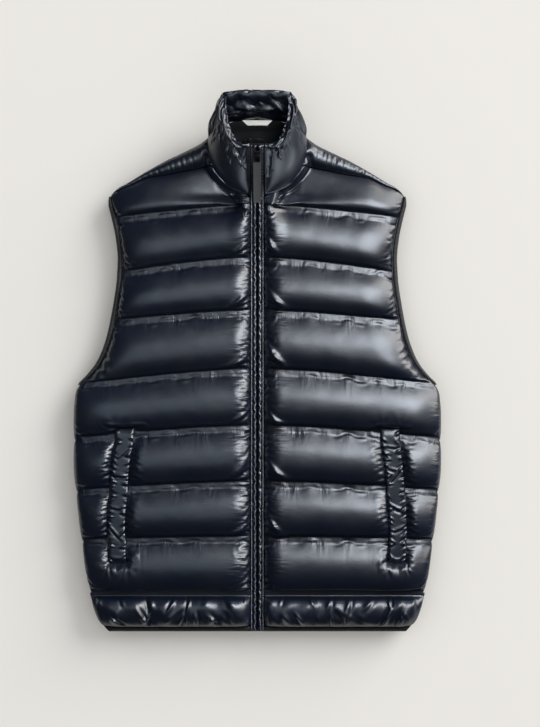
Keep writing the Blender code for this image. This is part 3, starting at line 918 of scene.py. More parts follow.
@dataclass(frozen=True)
class PressedNylon(OuterNylon):
    """The outer nylon where it is folded and pressed flat beside the zip."""

    smoothest: float = 0.24
    roughest: float = 0.34


@dataclass(frozen=True)
class LiningNylon(Finish):
    """The inside's plainer, duller nylon."""

    dark: Colour = (0.0020, 0.0022, 0.0030)
    light: Colour = (0.0045, 0.0048, 0.0058)
    thread_pitch: float = 0.0006

    def mix_nodes(self, tree: NodeTree) -> None:
        """Sets up the weave and a soft sheen."""
        set_inputs(shader_of(tree), Roughness=0.62, Specular_IOR_Level=0.12)
        self.paint(tree, noise(tree, scale=18.0))
        weave = threads(tree, self.thread_pitch)
        raise_surface(tree, (noise(tree, scale=60.0), 0.3, 0.001), (weave, 0.2, 0.00005))


@dataclass(frozen=True)
class ElasticRib(Finish):
    """Matte, finely ribbed elastic of the bindings."""

    dark: Colour = (0.0035, 0.0038, 0.0045)
    light: Colour = (0.009, 0.0095, 0.011)
    rib_pitch: float = 0.0009

    def mix_nodes(self, tree: NodeTree) -> None:
        """Sets up the ribs and the dull, uneven colour."""
        set_inputs(shader_of(tree), Roughness=0.62, Sheen_Weight=0.12)
        self.paint(tree, noise(tree, scale=240.0, detail=3.0))
        ribs = threads(tree, self.rib_pitch)
        raise_surface(tree, (noise(tree, scale=420.0), 0.5, 0.0005), (ribs, 0.6, 0.00025))


@dataclass(frozen=True)
class WovenTape(Finish):
    """The zip's black woven tape."""

    dark: Colour = (0.003, 0.003, 0.0035)
    light: Colour = (0.010, 0.010, 0.012)
    thread_pitch: float = 0.0008

    def mix_nodes(self, tree: NodeTree) -> None:
        """Sets up the coarse weave."""
        set_inputs(shader_of(tree), Roughness=0.8)
        weave = threads(tree, self.thread_pitch)
        self.paint(tree, weave)
        raise_surface(tree, (weave, 0.7, 0.0002))


@dataclass(frozen=True)
class CoilNylon(Finish):
    """The satin black nylon of the zip's coil."""

    dark: Colour = (0.006, 0.006, 0.007)
    light: Colour = (0.014, 0.014, 0.016)

    def mix_nodes(self, tree: NodeTree) -> None:
        """Sets up an uneven satin gloss."""
        self.paint(tree, noise(tree, scale=300.0))
        roughen(tree, noise(tree, scale=500.0), 0.3, 0.5)


@dataclass(frozen=True)
class SewingThread(Finish):
    """Smooth dark polyester thread that shines a little. It is coloured a lighter grey than the cloth, so
    part of its highlight is painted into its colour.
    """

    # Painted highlight: these tones are lighter than the thread's own dark colour, so the stitches show as
    # bright dots.
    dark: Colour = (0.022, 0.024, 0.030)
    light: Colour = (0.070, 0.074, 0.084)

    def mix_nodes(self, tree: NodeTree) -> None:
        """Sets up the twist's uneven gloss."""
        set_inputs(shader_of(tree), Specular_IOR_Level=0.8)
        self.paint(tree, noise(tree, scale=400.0))
        roughen(tree, noise(tree, scale=700.0), 0.25, 0.4)


@dataclass(frozen=True)
class DarkEnamel(Finish):
    """The slider's dark enamel over metal, lighter where it is rubbed."""

    dark: Colour = (0.012, 0.012, 0.013)
    light: Colour = (0.045, 0.045, 0.047)
    rubbed: Span = (0.45, 0.75)

    def mix_nodes(self, tree: NodeTree) -> None:
        """Sets up the enamel with fine scratches."""
        set_inputs(shader_of(tree), Metallic=0.6)
        self.paint(tree, ramp(tree, noise(tree, scale=420.0, detail=4.0), 0.0, 1.0, self.rubbed))
        roughen(tree, noise(tree, scale=900.0, detail=3.0), 0.28, 0.45)
        scratches = noise(tree, scale=1500.0, detail=3.0, stretch=(0.3, 1, 1))
        raise_surface(tree, (scratches, 0.15, 0.00005))


@dataclass(frozen=True)
class PullRubber(Finish):
    """The pull tab's matte dark grey rubber."""

    dark: Colour = (0.048, 0.049, 0.050)
    light: Colour = (0.070, 0.071, 0.072)

    def mix_nodes(self, tree: NodeTree) -> None:
        """Sets up the fine moulded grain."""
        self.paint(tree, noise(tree, scale=200.0, detail=4.0))
        roughen(tree, noise(tree, scale=700.0), 0.6, 0.75)
        raise_surface(tree, (noise(tree, scale=2600.0), 0.25, 0.00008))


@dataclass(frozen=True)
class LabelSatin(Finish):
    """The blank neck label's white woven satin."""

    dark: Colour = (0.86, 0.86, 0.82)
    light: Colour = (0.96, 0.96, 0.92)
    thread_pitch: float = 0.0006

    def mix_nodes(self, tree: NodeTree) -> None:
        """Sets up the satin's fine threads."""
        set_inputs(shader_of(tree), Roughness=0.55)
        weave = threads(tree, self.thread_pitch)
        self.paint(tree, weave)
        raise_surface(tree, (weave, 0.3, 0.0001))


@dataclass(frozen=True)
class PalePaper(Finish):
    """The pale studio floor."""

    colour: Colour = (0.80, 0.785, 0.755)

    def mix_nodes(self, tree: NodeTree) -> None:
        """Sets up a plain matte colour."""
        set_inputs(shader_of(tree), Base_Color=(*self.colour, 1), Roughness=0.9, Specular_IOR_Level=0.1)


# Cloth pieces


def settle(piece: Piece, finish: Finish, slot: str, *nodes: str, body: str = VEST_BODY) -> None:
    """Dresses a piece and places it in the frame.

    Args:
        piece: The piece.
        finish: Its finish.
        slot: The record's material slot; not used.
        nodes: The solids that it stands for.
        body: The body that it moves with.
    """
    finish.dress(piece)
    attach(piece, body)
    if nodes:
        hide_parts(*nodes)
    log.info("%s: %d faces", piece.name, len(piece.data.polygons))


def add_pad(side: Side, name: str, skin: Grid, floor: float, solid: str) -> Piece:
    """Mirrors a skin to its side, closes it to a pad, dresses and places it.

    Args:
        side: The pad's side; the skin is the left one's.
        name: The pad's name without its side.
        skin: The skin's grid in the cut's millimetres.
        floor: The level of the pad's flat face.
        solid: The name of the solid that it stands for, without its side.
    Returns:
        The pad.
    """
    skin[..., 0] *= side.value
    piece = closed_pad(f"{name}_{side.label}", skin, floor)
    settle(piece, OuterNylon(), "shell_nylon", f"{solid}_{side.label}")
    return piece


@dataclass
class FrontPanel:
    """A quilted front panel of eight baffles, gathered at the zip, armhole, side and pocket."""

    side: Side
    puff_height: float = 23.5
    seam_height: float = 10.5
    sewn_height: float = 4.6  # at the zip and along the top edge
    edge_height: float = 2.2
    pocket_height: float = 10.5
    zip_roll: float = 26.0
    side_roll: float = 52.0
    top_roll: float = 30.0
    pocket_roll: float = 17.0
    floor_gap: float = 1.5
    crests: Span = (0.39, 0.46)  # where a left and a right baffle is fullest, from its lower seam
    tilts: Span = (0.65, 0.0)  # how far a left and a right band turns to the light
    yoke_section: SmoothCurve = SmoothCurve([
        (0, 0), (0.06, 0.42), (0.14, 0.66), (0.24, 0.76), (0.36, 0.7), (0.54, 0.48), (0.72, 0.27),
        (0.88, 0.12), (1, 0),
    ])
    neck_hollow: Span = (0.55, 0.75)  # by how much seam and filling are lower below the collar
    lump_height: float = 0.07
    ray_height: float = 0.9
    crease_height: float = 1.6
    crease_length: float = 8.5
    band_waves: Span = (0.22, 0.9)  # up and down, and along the vest
    zip_folds: tuple[Spot, Spot] = ((4.6, 3.2), (3.0, 4.4))  # height and half width, left and right
    zip_fold_reach: Span = (18, 32)
    zip_fold_rise: Span = (26, 46)
    lesser_fold_width: float = 2.6
    neck_folds: tuple[float, ...] = (26.0, 34.0, 45.0, 58.0)  # where they start along the collar
    spare: float = 0.015  # spare length of the cloth over its filled section
    zip_spare: float = 0.24
    armhole_spare: float = 0.12
    neck_spare: float = 0.16
    pocket_spare: float = 0.17
    band_spare: float = 0.01
    spare_across: Span = (0.002, 0.014)  # on the baffles and on the bands
    end_spare: float = 0.1  # across the pocket's ends
    seeds: tuple[int, int] = (11, 23)
    baffle_rows: int = 34
    yoke_rows: int = 26
    band_rows: int = 4
    steps: int = 300
    columns: tuple[int, int, int] = (72, 14, 34)  # from zip to pocket, across it, from it to the side

    @property
    def seed(self) -> int:
        """The first of the panel's seeds."""
        return self.side.pick(self.seeds)

    def _fullness(self, share: float) -> float:
        """A baffle's section: steep over its lower seam and gentle below its upper one.

        Args:
            share: The share of the way up.
        Returns:
            0 on a seam and 1 at the crest.
        """
        crest = self.side.pick(self.crests)
        if share < crest:
            return (1 - (1 - share / crest) ** 2.2) ** 0.8
        return 1 - ((share - crest) / (1 - crest)) ** 2.1

    def _yoke_fullness(self, share: float) -> float:
        """The top baffle's section: full over its lower seam and falling off to the shoulder."""
        return float(self.yoke_section(share))

    def _shares(self, height: float) -> Grid:
        """Where a row's points lie across the panel, closer together near the zip.

        Args:
            height: The row's height along the vest.
        Returns:
            Shares of the panel's width.
        """
        middle = float(CUT.pocket_line(height))
        first, last = middle - CUT.pocket_half_share, middle + CUT.pocket_half_share
        inner = np.linspace(0, 1, self.columns[0], endpoint=False) ** 1.25 * first
        pocket = np.linspace(first, last, self.columns[1], endpoint=False)
        return np.concatenate([inner, pocket, np.linspace(last, 1, self.columns[2] + 1)])

    def _seam_row(self, at_zip: float, at_side: float) -> Grid:
        """A row of plan points from the zip to the side.

        Args:
            at_zip: The row's height at the zip.
            at_side: Its height at the side.
        Returns:
            x, y and the share of the width of every point.
        """
        share = self._shares((at_zip + at_side) / 2)
        x = mix(CUT.zip_edge, float(CUT.panel_half_width(at_side)), share)
        return np.stack([x, mix(at_zip, at_side, share**CUT.seam_bend), share], -1)

    def _plan(self) -> tuple[Grid, Grid, Grid]:
        """Lays out the panel's rows.

        Returns:
            Plan points of every row, each row's fullness, and each row's place on a quilting
            band: 0 off it, 1 on its upper stitching, 2 inside it and 3 on its lower stitching.
        """
        rows, fullness, banded = [], [], []
        half = CUT.band_width / 2
        for low, high in zip(CUT.seams, CUT.seams[1:]):
            for step in np.linspace(0, 1, self.baffle_rows + 1):
                ends = [mix(a + half, b - half, step) for a, b in zip(low, high)]
                rows.append(self._seam_row(*ends))
                fullness.append(self._fullness(step))
                banded.append({0.0: 1, 1.0: 3}.get(float(step), 0))
            for step in np.linspace(0, 1, self.band_rows + 1)[1:-1]:
                rows.append(self._seam_row(*(seam - half + 2 * half * step for seam in high)))
                fullness.append(0.0)
                banded.append(2)
        start = self._seam_row(*(seam + half for seam in CUT.seams[-1]))
        top_x = mix(CUT.top_start, CUT.top_end, start[:, 2])
        top = np.stack([top_x, CUT.front_top(top_x), start[:, 2]], -1)
        for step in np.linspace(0, 1, self.yoke_rows):
            rows.append(mix(start, top, step))
            fullness.append(self._yoke_fullness(step))
            banded.append({0.0: 1, 1.0: 1}.get(float(step), 0))
        return np.array(rows), np.array(fullness), np.array(banded)

    def _from_pocket(self, plan: Grid) -> tuple[Grid, Grid]:
        """Where the panel's points lie by the pocket.

        Args:
            plan: The panel's plan points.
        Returns:
            How far each point lies outside the pocket's stitching, and 1 beside the pocket.
        """
        y, width = plan[..., 1], plan[:, -1:, 0] - plan[:, :1, 0]
        outside = np.abs(plan[..., 2] - CUT.pocket_line(y)) - CUT.pocket_half_share
        beside = smooth_step((y - CUT.pocket_low + 4) / 8) * smooth_step((CUT.pocket_high + 6 - y) / 8)
        return outside * width, beside

    def _near_pocket(self, plan: Grid) -> Grid:
        """1 on the pocket's long seams, falling off to 0 beside them."""
        outside, beside = self._from_pocket(plan)
        return beside * np.exp(-((outside / 11) ** 2))

    def _pocket_ends(self, plan: Grid) -> tuple[Grid, Grid]:
        """How near each point is to an end of the pocket, and creases that run out from there.

        Args:
            plan: The panel's plan points.
        Returns:
            1 at the ends falling to 0 away from them, and heights of about one unit.
        """
        chance = np.random.default_rng(self.seed + 8)
        near, rays = np.zeros(plan.shape[:2]), np.zeros(plan.shape[:2])
        for y in (CUT.pocket_low, CUT.pocket_high):
            for edge in (-1, 1):
                share = float(CUT.pocket_line(y)) + edge * CUT.pocket_half_share
                x = float(mix(CUT.zip_edge, CUT.panel_half_width(y), share))
                away = np.hypot(plan[..., 0] - x, plan[..., 1] - y)
                angle = np.arctan2(plan[..., 1] - y, plan[..., 0] - x)
                close = np.exp(-((away / chance.uniform(12, 18)) ** 2)) * (1.0 if y < 200 else 0.45)
                near = np.maximum(near, close)
                rays += close * np.sin(chance.integers(6, 9) * angle + chance.uniform(0, 6))
        return near, rays

    def _folds(self, plan: Grid) -> Grid:
        """Heights of the larger slanting folds: at the seams' zip ends and below the collar.

        Args:
            plan: The panel's plan points.
        Returns:
            A height for every point.
        """
        chance = np.random.default_rng(self.seed + 7)
        deep, wide = self.side.pick(self.zip_folds)
        total = np.zeros(plan.shape[:2])
        for at_zip, _ in CUT.seams[1:-1]:
            reach = chance.uniform(*self.zip_fold_reach)
            start = (CUT.zip_edge + 3, at_zip + chance.uniform(*self.zip_fold_rise))
            end = (CUT.zip_edge + reach, at_zip + 7)
            total += deep * chance.uniform(0.5, 1.1) * crease(plan, start, end, wide)
            start, end = (start[0] + 1, start[1] - 12), (end[0] + 9, end[1] + 1)
            total += deep * chance.uniform(0.3, 0.9) * crease(plan, start, end, self.lesser_fold_width)
        for along_neck in self.neck_folds:
            start = (along_neck, float(CUT.front_top(along_neck)) - 3)
            end = (chance.uniform(12, 22), chance.uniform(604, 630))
            total += chance.uniform(0.9, 2.4) * crease(plan, start, end, chance.uniform(1.6, 3.0))
        return total

    def _heights(self, plan: Grid, fullness: Grid) -> Grid:
        """The filled skin's height over the inside.

        Args:
            plan: The panel's plan points.
            fullness: Each row's fullness.
        Returns:
            A height for every point.
        """
        x, y, edge = plan[..., 0], plan[..., 1], plan[:, -1:, 0]
        from_top = np.linalg.norm(plan[-1:, :, :2] - plan[..., :2], axis=2)
        seam = mix(self.sewn_height, self.seam_height, rounded(from_top, self.top_roll))
        below_collar = smooth_step((y - 616) / 24) * smooth_step((165 - x) / 115)
        lower_seam, lower_filling = self.neck_hollow
        seam = seam * (1 - lower_seam * below_collar)
        filled = mix(seam, self.puff_height, fullness[:, None] * (1 - lower_filling * below_collar))
        filled = mix(self.sewn_height, filled, rounded(x - CUT.zip_edge, self.zip_roll))
        height = mix(self.edge_height, filled, rounded(edge - x, self.side_roll))
        outside, beside = self._from_pocket(plan)
        sunk = mix(np.minimum(height, self.pocket_height), height, rounded(outside + 1.0, self.pocket_roll))
        return mix(height, sunk, beside)

    def _band_tilt(self, banded: Grid) -> Grid:
        """How far each row of a band is raised, so that the left panel's bands face the light.

        Args:
            banded: Each row's place on a quilting band.
        Returns:
            A height for every row.
        """
        tilt = self.side.pick(self.tilts)
        raised = np.zeros(len(banded))
        for row in np.flatnonzero(banded == 3):
            raised[row : row + self.band_rows + 1] = np.linspace(tilt, -tilt, self.band_rows + 1)
        return raised

    def _held(self, plan: Grid, banded: Grid) -> Grid:
        """Where the skin is sewn down.

        Args:
            plan: The panel's plan points.
            banded: Each row's place on a quilting band.
        Returns:
            1 for a sewn point and 0 for a free one.
        """
        held = np.repeat(np.isin(banded, (1, 3)).astype(float)[:, None], plan.shape[1], 1)
        held[:, [0, -1]] = 1
        held[[0, -1]] = 1
        first = self.columns[0]
        middle = plan[:, first + self.columns[1] // 2, 1]
        inside = (middle > CUT.pocket_low) & (middle < CUT.pocket_high)
        held[inside, first : first + self.columns[1] + 1] = 1
        return held

    def _wrinkled(self, plan: Grid, banded: Grid) -> tuple[Grid, Grid]:
        """Where the skin has fine wrinkles.

        Args:
            plan: The panel's plan points.
            banded: Each row's place on a quilting band.
        Returns:
            The strength of level wrinkles and of upright ones, from 0 to 1.
        """
        x, y = plan[..., 0], plan[..., 1]
        outside, beside = self._from_pocket(plan)
        patchy = np.clip(0.6 + 0.5 * uneven_waves(y, x, 60.0, self.seed + 9), 0.1, 1.2)
        at_zip = np.exp(-(((x - x[:, :1]) / 24) ** 2))
        at_side = 0.6 * np.exp(-(((x[:, -1:] - x) / 12) ** 2))
        at_pocket = 0.8 * beside * np.exp(-((outside / 14) ** 2))
        level = np.clip(at_zip + at_side + at_pocket, 0, 1) * patchy
        near_band = np.zeros_like(y)
        for row in np.flatnonzero(banded == 3):
            near_band = np.maximum(near_band, np.exp(-np.abs(y - y[row]) / 7))
        uneven = np.clip(0.2 + 0.5 * uneven_waves(x, y, 55.0, self.seed + 10), 0.0, 0.8)
        return level, near_band * uneven * (1 - at_zip)

    def _filling(self, plan: Grid, fullness: Grid, banded: Grid, free: Grid) -> Grid:
        """The level to which the filling holds the skin.

        Args:
            plan: The panel's plan points.
            fullness: Each row's fullness.
            banded: Each row's place on a quilting band.
            free: 0 where the skin is sewn down.
        Returns:
            A level for every point.
        """
        x, y = plan[..., 0], plan[..., 1]
        lumps = uneven_waves(x, y, 46.0, self.seed + 3) + uneven_waves(y, x, 38.0, self.seed + 4)
        _, rays = self._pocket_ends(plan)
        filling = self._inside(plan) + self._heights(plan, fullness)
        filling = filling + self.lump_height * lumps * fullness[:, None]
        filling = filling + self._band_tilt(banded)[:, None]
        filling = filling + free * self._folds(plan)
        return filling + free * self.ray_height * rays

    def _inside(self, plan: Grid) -> Grid:
        """The level of the panel's inside."""
        return CUT.front_level + CUT.neck_lift(plan[..., 0], plan[..., 1])

    def _creased(self, filled: Grid, plan: Grid, banded: Grid, free: Grid) -> Grid:
        """Gives the skin a start for its creases.

        Args:
            filled: The filled skin.
            plan: The panel's plan points.
            banded: Each row's place on a quilting band.
            free: 0 where the skin is sewn down.
        Returns:
            The skin before it settles.
        """
        x, y = plan[..., 0], plan[..., 1]
        from_zip, from_side = x - x[:, :1], x[:, -1:] - x
        creases = uneven_waves(y, 1.4 * from_zip, self.crease_length, self.seed)
        reach = np.exp(-from_zip / 18) + 0.6 * np.exp(-from_side / 12) + 0.05 + 0.6 * self._near_pocket(plan)
        upwards, sideways = self.band_waves
        points = filled.copy()
        points[..., 2] += free * self.crease_height * creases * reach
        points[..., 2] += upwards * uneven_waves(x, y, 23.0, self.seed + 1) * (banded[:, None] > 1)
        points[..., 1] += sideways * uneven_waves(x, 0 * y, 37.0, self.seed + 5) * (banded[:, None] == 3)
        return points

    def _spare(self, plan: Grid, at_ends: Grid) -> Grid:
        """The spare length of the upright threads, as a share of what the filling needs.

        Args:
            plan: The panel's plan points.
            at_ends: How near each point is to an end of the pocket.
        Returns:
            A share for every thread between two rows.
        """
        x, y = plan[:-1, :, 0], plan[:-1, :, 1]
        from_zip, from_side = x - x[:, :1], x[:, -1:] - x
        from_top = np.linalg.norm(plan[-1:, :, :2] - plan[:-1, :, :2], axis=2)
        depth = 20 + 9 * uneven_waves(y, 0 * y, 34.0, self.seed + 2)
        patchy = np.clip(0.6 + 0.7 * uneven_waves(y, 0 * y, 58.0, self.seed + 10), 0.12, 1.3)
        uneven = np.clip(0.6 + 0.6 * uneven_waves(y, 0 * y, 41.0, self.seed + 6), 0.1, 1.4)
        at_armhole = smooth_step((y - CUT.underarm_y) / 20)
        spare = self.spare + self.zip_spare * patchy * np.exp(-((from_zip / np.maximum(depth, 9)) ** 2))
        spare = spare + self.armhole_spare * at_armhole * uneven * np.exp(-((from_side / 13) ** 2))
        spare = spare + self.neck_spare * np.exp(-((from_top / 26) ** 2)) * smooth_step((75 - x) / 40)
        return spare + self.pocket_spare * np.maximum(self._near_pocket(plan), at_ends)[:-1]

    def skin(self) -> tuple[Grid, Grid, Grid]:
        """Simulates the panel's outer skin.

        Returns:
            The skin's grid for the left side, and how finely wrinkled it is level and upright.
        """
        plan, fullness, banded = self._plan()
        held = self._held(plan, banded)
        at_ends, _ = self._pocket_ends(plan)
        filling = self._filling(plan, fullness, banded, 1 - held)
        filled = np.stack([plan[..., 0], plan[..., 1], filling], -1)
        band = (banded[1:] * banded[:-1] > 0)[:, None]
        down = spans(filled, 0) * (1 + np.where(band, self.band_spare, self._spare(plan, at_ends)))
        off_band, on_band = self.spare_across
        wide = 1 + np.where(banded > 1, on_band, off_band)[:, None] + self.end_spare * at_ends[:, 1:]
        cloth = SlackCloth(
            self._creased(filled, plan, banded, 1 - held), held, down, spans(filled, 1) * wide, filled,
            floor=self._inside(plan) + self.floor_gap, bend=0.045, pressure=0.004, sag=0.003,
            filling=filling, support=0.012,
        )
        return soften(cloth.relax(self.steps), held), *self._wrinkled(plan, banded)

    def build(self) -> None:
        """Makes, dresses and places the panel."""
        skin, level, upright = self.skin()
        piece = add_pad(self.side, "quilted_front", skin, CUT.front_level, "front")
        mark_wrinkles(piece, LEVEL_WRINKLES, level)
        mark_wrinkles(piece, UPRIGHT_WRINKLES, upright)


@dataclass
class HemChannel:
    """The lowest baffle, gathered by the elastic in the hem."""

    side: Side
    height: float = 20.0
    edge_height: float = 2.2
    top_rise: float = 2.6
    zip_roll: float = 14.0
    side_roll: float = 34.0
    floor_gap: float = 1.2
    fold_heights: Span = (3.4, 3.0)  # of those from the hem and of those from the seam
    spare: float = 1.012
    seeds: tuple[int, int] = (5, 8)
    columns: int = 190
    rows: int = 40
    steps: int = 200
    low: float = CUT.hem_binding_height + CUT.seam_gap
    band_low: float = CUT.seams[0][0] - CUT.band_width / 2

    def _folds(self, plan: Grid) -> Grid:
        """Heights of the folds that start at the hem and at the quilting seam.

        Args:
            plan: The channel's plan points.
        Returns:
            A height for every point.
        """
        seed = self.side.pick(self.seeds)
        from_hem, from_seam = self.fold_heights
        below = gathers(plan, self.low, (7, 24), (13, 34), (1.8, 4.4), seed)
        above = gathers(plan, self.band_low, (16, 46), (-28, -10), (2.0, 4.6), seed + 20)
        return from_hem * below + from_seam * above

    def _shape(self, step: Grid) -> Grid:
        """The filled channel with its folds.

        Args:
            step: Each row's share of the way up.
        Returns:
            The channel's grid for the left side.
        """
        share = np.linspace(0, 1, self.columns)[None, :]
        height = mix(self.low, CUT.seams[0][0] + CUT.band_width / 2 - CUT.seam_gap, step)
        edge = CUT.panel_half_width(height)
        x, y = mix(CUT.zip_edge, edge, share), height + 0 * share
        fill = puff(np.clip((y - self.low) / (self.band_low - self.low), 0, 1))
        waves = uneven_waves(x, 1.2 * y, 46.0, self.side.pick(self.seeds))
        at_side = rounded(edge - x, self.side_roll)
        inside = rounded(x - CUT.zip_edge, self.zip_roll) * at_side
        folds = self._folds(np.stack([x, y], -1)) * np.minimum(1, 1.7 * fill)
        lift = inside * (self.height * fill * (0.9 + 0.08 * waves) + folds)
        z = CUT.front_level + self.edge_height + self.top_rise * step * at_side + lift
        return np.stack([x, y, z], -1)

    def build(self) -> None:
        """Simulates, dresses and places the channel."""
        step = np.linspace(0, 1, self.rows)[:, None]
        points = self._shape(step)
        held = sewn_border(self.rows, self.columns)
        held[points[..., 1] > self.band_low + 0.5] = 1
        cloth = SlackCloth(
            points, held, spans(points, 0) * self.spare, spans(points, 1) * self.spare, points,
            bend=0.08, sag=0.002, pressure=0.004, floor=CUT.front_level + self.floor_gap,
            filling=points[..., 2], support=0.02,
        )
        skin = soften(cloth.relax(self.steps), held)
        piece = add_pad(self.side, "gathered_hem", skin, CUT.front_level, "hem_channel")
        wrinkled = np.clip(0.06 + 0.6 * (1 - step) ** 4 + np.zeros(self.columns), 0, 1)
        mark_wrinkles(piece, UPRIGHT_WRINKLES, wrinkled)


@dataclass
class Shoulder:
    """The strip of the back that rolls over the shoulder to the front's shoulder seam."""

    side: Side
    fill_height: float = 13.0
    edge_heights: Span = (5.0, 2.2)  # at the front's seam and at the fold
    ripple: float = 0.9
    spare: float = 1.16
    spare_across: Span = (1.08, 1.02)
    floor_gap: float = 1.2
    seeds: tuple[int, int] = (31, 37)
    columns: int = 76
    rows: int = 26
    steps: int = 220
    neck_ends: Span = (64.0, 203.0)
    fold_ends: Span = (67.0, 206.5)

    def build(self) -> None:
        """Simulates, dresses and places the strip."""
        share = np.linspace(0, 1, self.columns)[None, :]
        step = np.linspace(0, 1, self.rows)[:, None]
        seam_x = mix(*self.neck_ends, share)
        seam_y = CUT.front_top(seam_x) + 2 * CUT.seam_gap
        fold_x = mix(*self.fold_ends, share)
        x, y = mix(seam_x, fold_x, step), mix(seam_y, CUT.back_top(fold_x), step)
        low = CUT.front_level + CUT.neck_lift(seam_x, seam_y) * (1 - step) ** 1.2
        fill = self.fill_height * puff(step) * rounded(share, 0.25) * rounded(1.02 - share, 0.6)
        ripples = self.ripple * uneven_waves(x, y, 13.0, self.side.pick(self.seeds)) * np.exp(-step / 0.4)
        level = low + mix(*self.edge_heights, step) + fill + ripples * (fill > 0.5)
        held = sewn_border(self.rows, self.columns)
        start = np.stack([x, y, low], -1)
        down, across = spans(start, 0) * self.spare, spans(start, 1) * mix(*self.spare_across, step)
        points = np.stack([x, y, level], -1)
        floor = low + self.floor_gap
        cloth = SlackCloth(points, held, down, across, start, bend=0.06, sag=0.0, floor=floor)
        skin = soften(cloth.relax(self.steps), held)
        add_pad(self.side, "rolled_shoulder", skin, CUT.front_level, "shoulder")


@dataclass
class PocketWelt:
    """The padded strip over a pocket's mouth, puckered along both edges."""

    side: Side
    height: float = 5.0
    half_width: float = 13.5
    pucker: float = 1.9
    seat: float = 0.4  # over the panel's sewn pocket
    edge_height: float = 0.8
    floor_gap: float = 0.6
    depth: float = 3.0
    spare: float = 1.02
    softening: float = 0.2
    seeds: tuple[int, int] = (41, 47)
    columns: int = 23
    rows: int = 160
    steps: int = 160

    def _puckers(self, y: Grid, across: Grid) -> Grid:
        """Folds from both edges and some over the middle.

        Args:
            y: Heights along the vest.
            across: Shares of half the width.
        Returns:
            Heights of about one unit.
        """
        seed = self.side.pick(self.seeds)
        plan = np.stack([y, self.half_width * across + 0 * y], -1)
        total = gathers(plan, -self.half_width, (4, 12), (4, 10), (1.2, 2.4), seed)
        total += gathers(plan, self.half_width, (4, 12), (-10, -4), (1.2, 2.4), seed + 2)
        total += gathers(plan, -8.0, (20, 48), (13, 20), (1.6, 2.8), seed + 4)
        return total

    def build(self, panel: FrontPanel) -> None:
        """Simulates, dresses and places the strip.

        Args:
            panel: The front panel that carries it.
        """
        step = np.linspace(0, 1, self.rows)[:, None]
        across = np.linspace(-1, 1, self.columns)[None, :]
        y = mix(CUT.pocket_low, CUT.pocket_high, step) + 0 * across
        share = CUT.pocket_line(y) + CUT.pocket_half_share * across
        x = mix(CUT.zip_edge, CUT.panel_half_width(y[:, :1]), share)
        base = CUT.front_level + panel.pocket_height + self.seat
        ends = rounded(np.minimum(step, 1 - step), 0.06)
        inside = 1 - np.abs(across)
        swell = self.height * rounded(inside, 0.45) * ends
        puckers = self.pucker * self._puckers(y, across) * rounded(inside, 0.22)
        points = np.stack([x, y, base + self.edge_height + (swell + puckers) * ends], -1)
        held = sewn_border(self.rows, self.columns)
        cloth = SlackCloth(
            points, held, spans(points, 0) * self.spare, spans(points, 1) * self.spare, points,
            bend=0.05, sag=0.003, pressure=0.003, floor=base + self.floor_gap,
            filling=points[..., 2], support=0.03,
        )
        skin = soften(cloth.relax(self.steps), held, self.softening)
        add_pad(self.side, "puckered_welt", skin, base - self.depth, "pocket_welt")


@dataclass
class BackPanel:
    """The quilted back on which the vest lies."""

    roll: float = 20.0
    groove: float = 3.0
    groove_half: float = 6.0
    neck_fold: float = 2.4
    deepest_fold: float = 6.0
    seed: int = 17
    columns: int = 30
    rows_per_baffle: int = 14
    top_rows: int = 22
    low: float = CUT.hem_binding_height + CUT.seam_gap

    def _across(self) -> Grid:
        """Shares of half the width, closer together near the sides."""
        half = 1 - np.linspace(0, 1, self.columns) ** 2.2
        return np.concatenate([-half, half[-2::-1]])

    def _plan(self) -> Grid:
        """Lays out the panel's rows.

        Returns:
            x, y and the distance from the edge of every point.
        """
        across = self._across()
        inner = 1 - np.abs(across)
        seams = [self.low] + [side for _, side in CUT.seams]
        pairs = zip(seams, seams[1:])
        heights = [np.linspace(a, b, self.rows_per_baffle, endpoint=False) for a, b in pairs]
        rows = []
        for y in np.concatenate([*heights, seams[-1:]]):
            half = float(CUT.panel_half_width(y))
            inside = np.minimum(half * inner, (y - self.low) * 1.2)
            rows.append(np.stack([half * across, np.full_like(across, y), inside], -1))
        top_y = CUT.back_top(np.abs(across) * CUT.top_end)
        for step in 1 - np.linspace(1, 0, self.top_rows)[1:] ** 1.6:
            width = mix(half, CUT.top_end, step)
            y = mix(seams[-1], top_y, step)
            rows.append(np.stack([width * across, y, np.minimum(width * inner, top_y - y)], -1))
        return np.array(rows)

    def _near_seam(self, y: Grid) -> Grid:
        """How near each point is to a quilting seam.

        Args:
            y: The points' heights along the vest.
        Returns:
            1 on a seam, falling off to 0 beside it.
        """
        near = np.zeros_like(y)
        for at_zip, at_side in CUT.seams:
            line = mix(at_zip, at_side, np.abs(self._across())[None, :] ** CUT.seam_bend)
            near = np.maximum(near, np.exp(-(((y - line) / self.groove_half) ** 2)))
        return near

    def build(self) -> None:
        """Makes, dresses and places the panel."""
        plan = self._plan()
        x, y, inside = plan[..., 0], plan[..., 1], plan[..., 2]
        rolled = CUT.back_edge_level * (1 - rounded(inside, self.roll))
        groove = self.groove * self._near_seam(y) * (1 - rolled / CUT.mid_level)
        under = np.stack([x, y, rolled + groove], -1)
        in_neck = smooth_step((y - 640) / 20) * smooth_step((66 - np.abs(x)) / 15)
        in_neck = in_neck * smooth_step((736 - y) / 8)
        folds = self.neck_fold * (1 + uneven_waves(x, 1.5 * y, 24.0, self.seed)) * in_neck
        top = np.stack([x, y, CUT.mid_level - np.clip(folds, 0, self.deepest_fold)], -1)
        piece = closed_strip("quilted_back", top, under)
        settle(piece, OuterNylon(), "shell_nylon", "back_panel")
        piece.data.materials.append(LiningNylon().material())
        for face in piece.data.polygons:
            face.material_index = int(face.normal.z > 0.6)


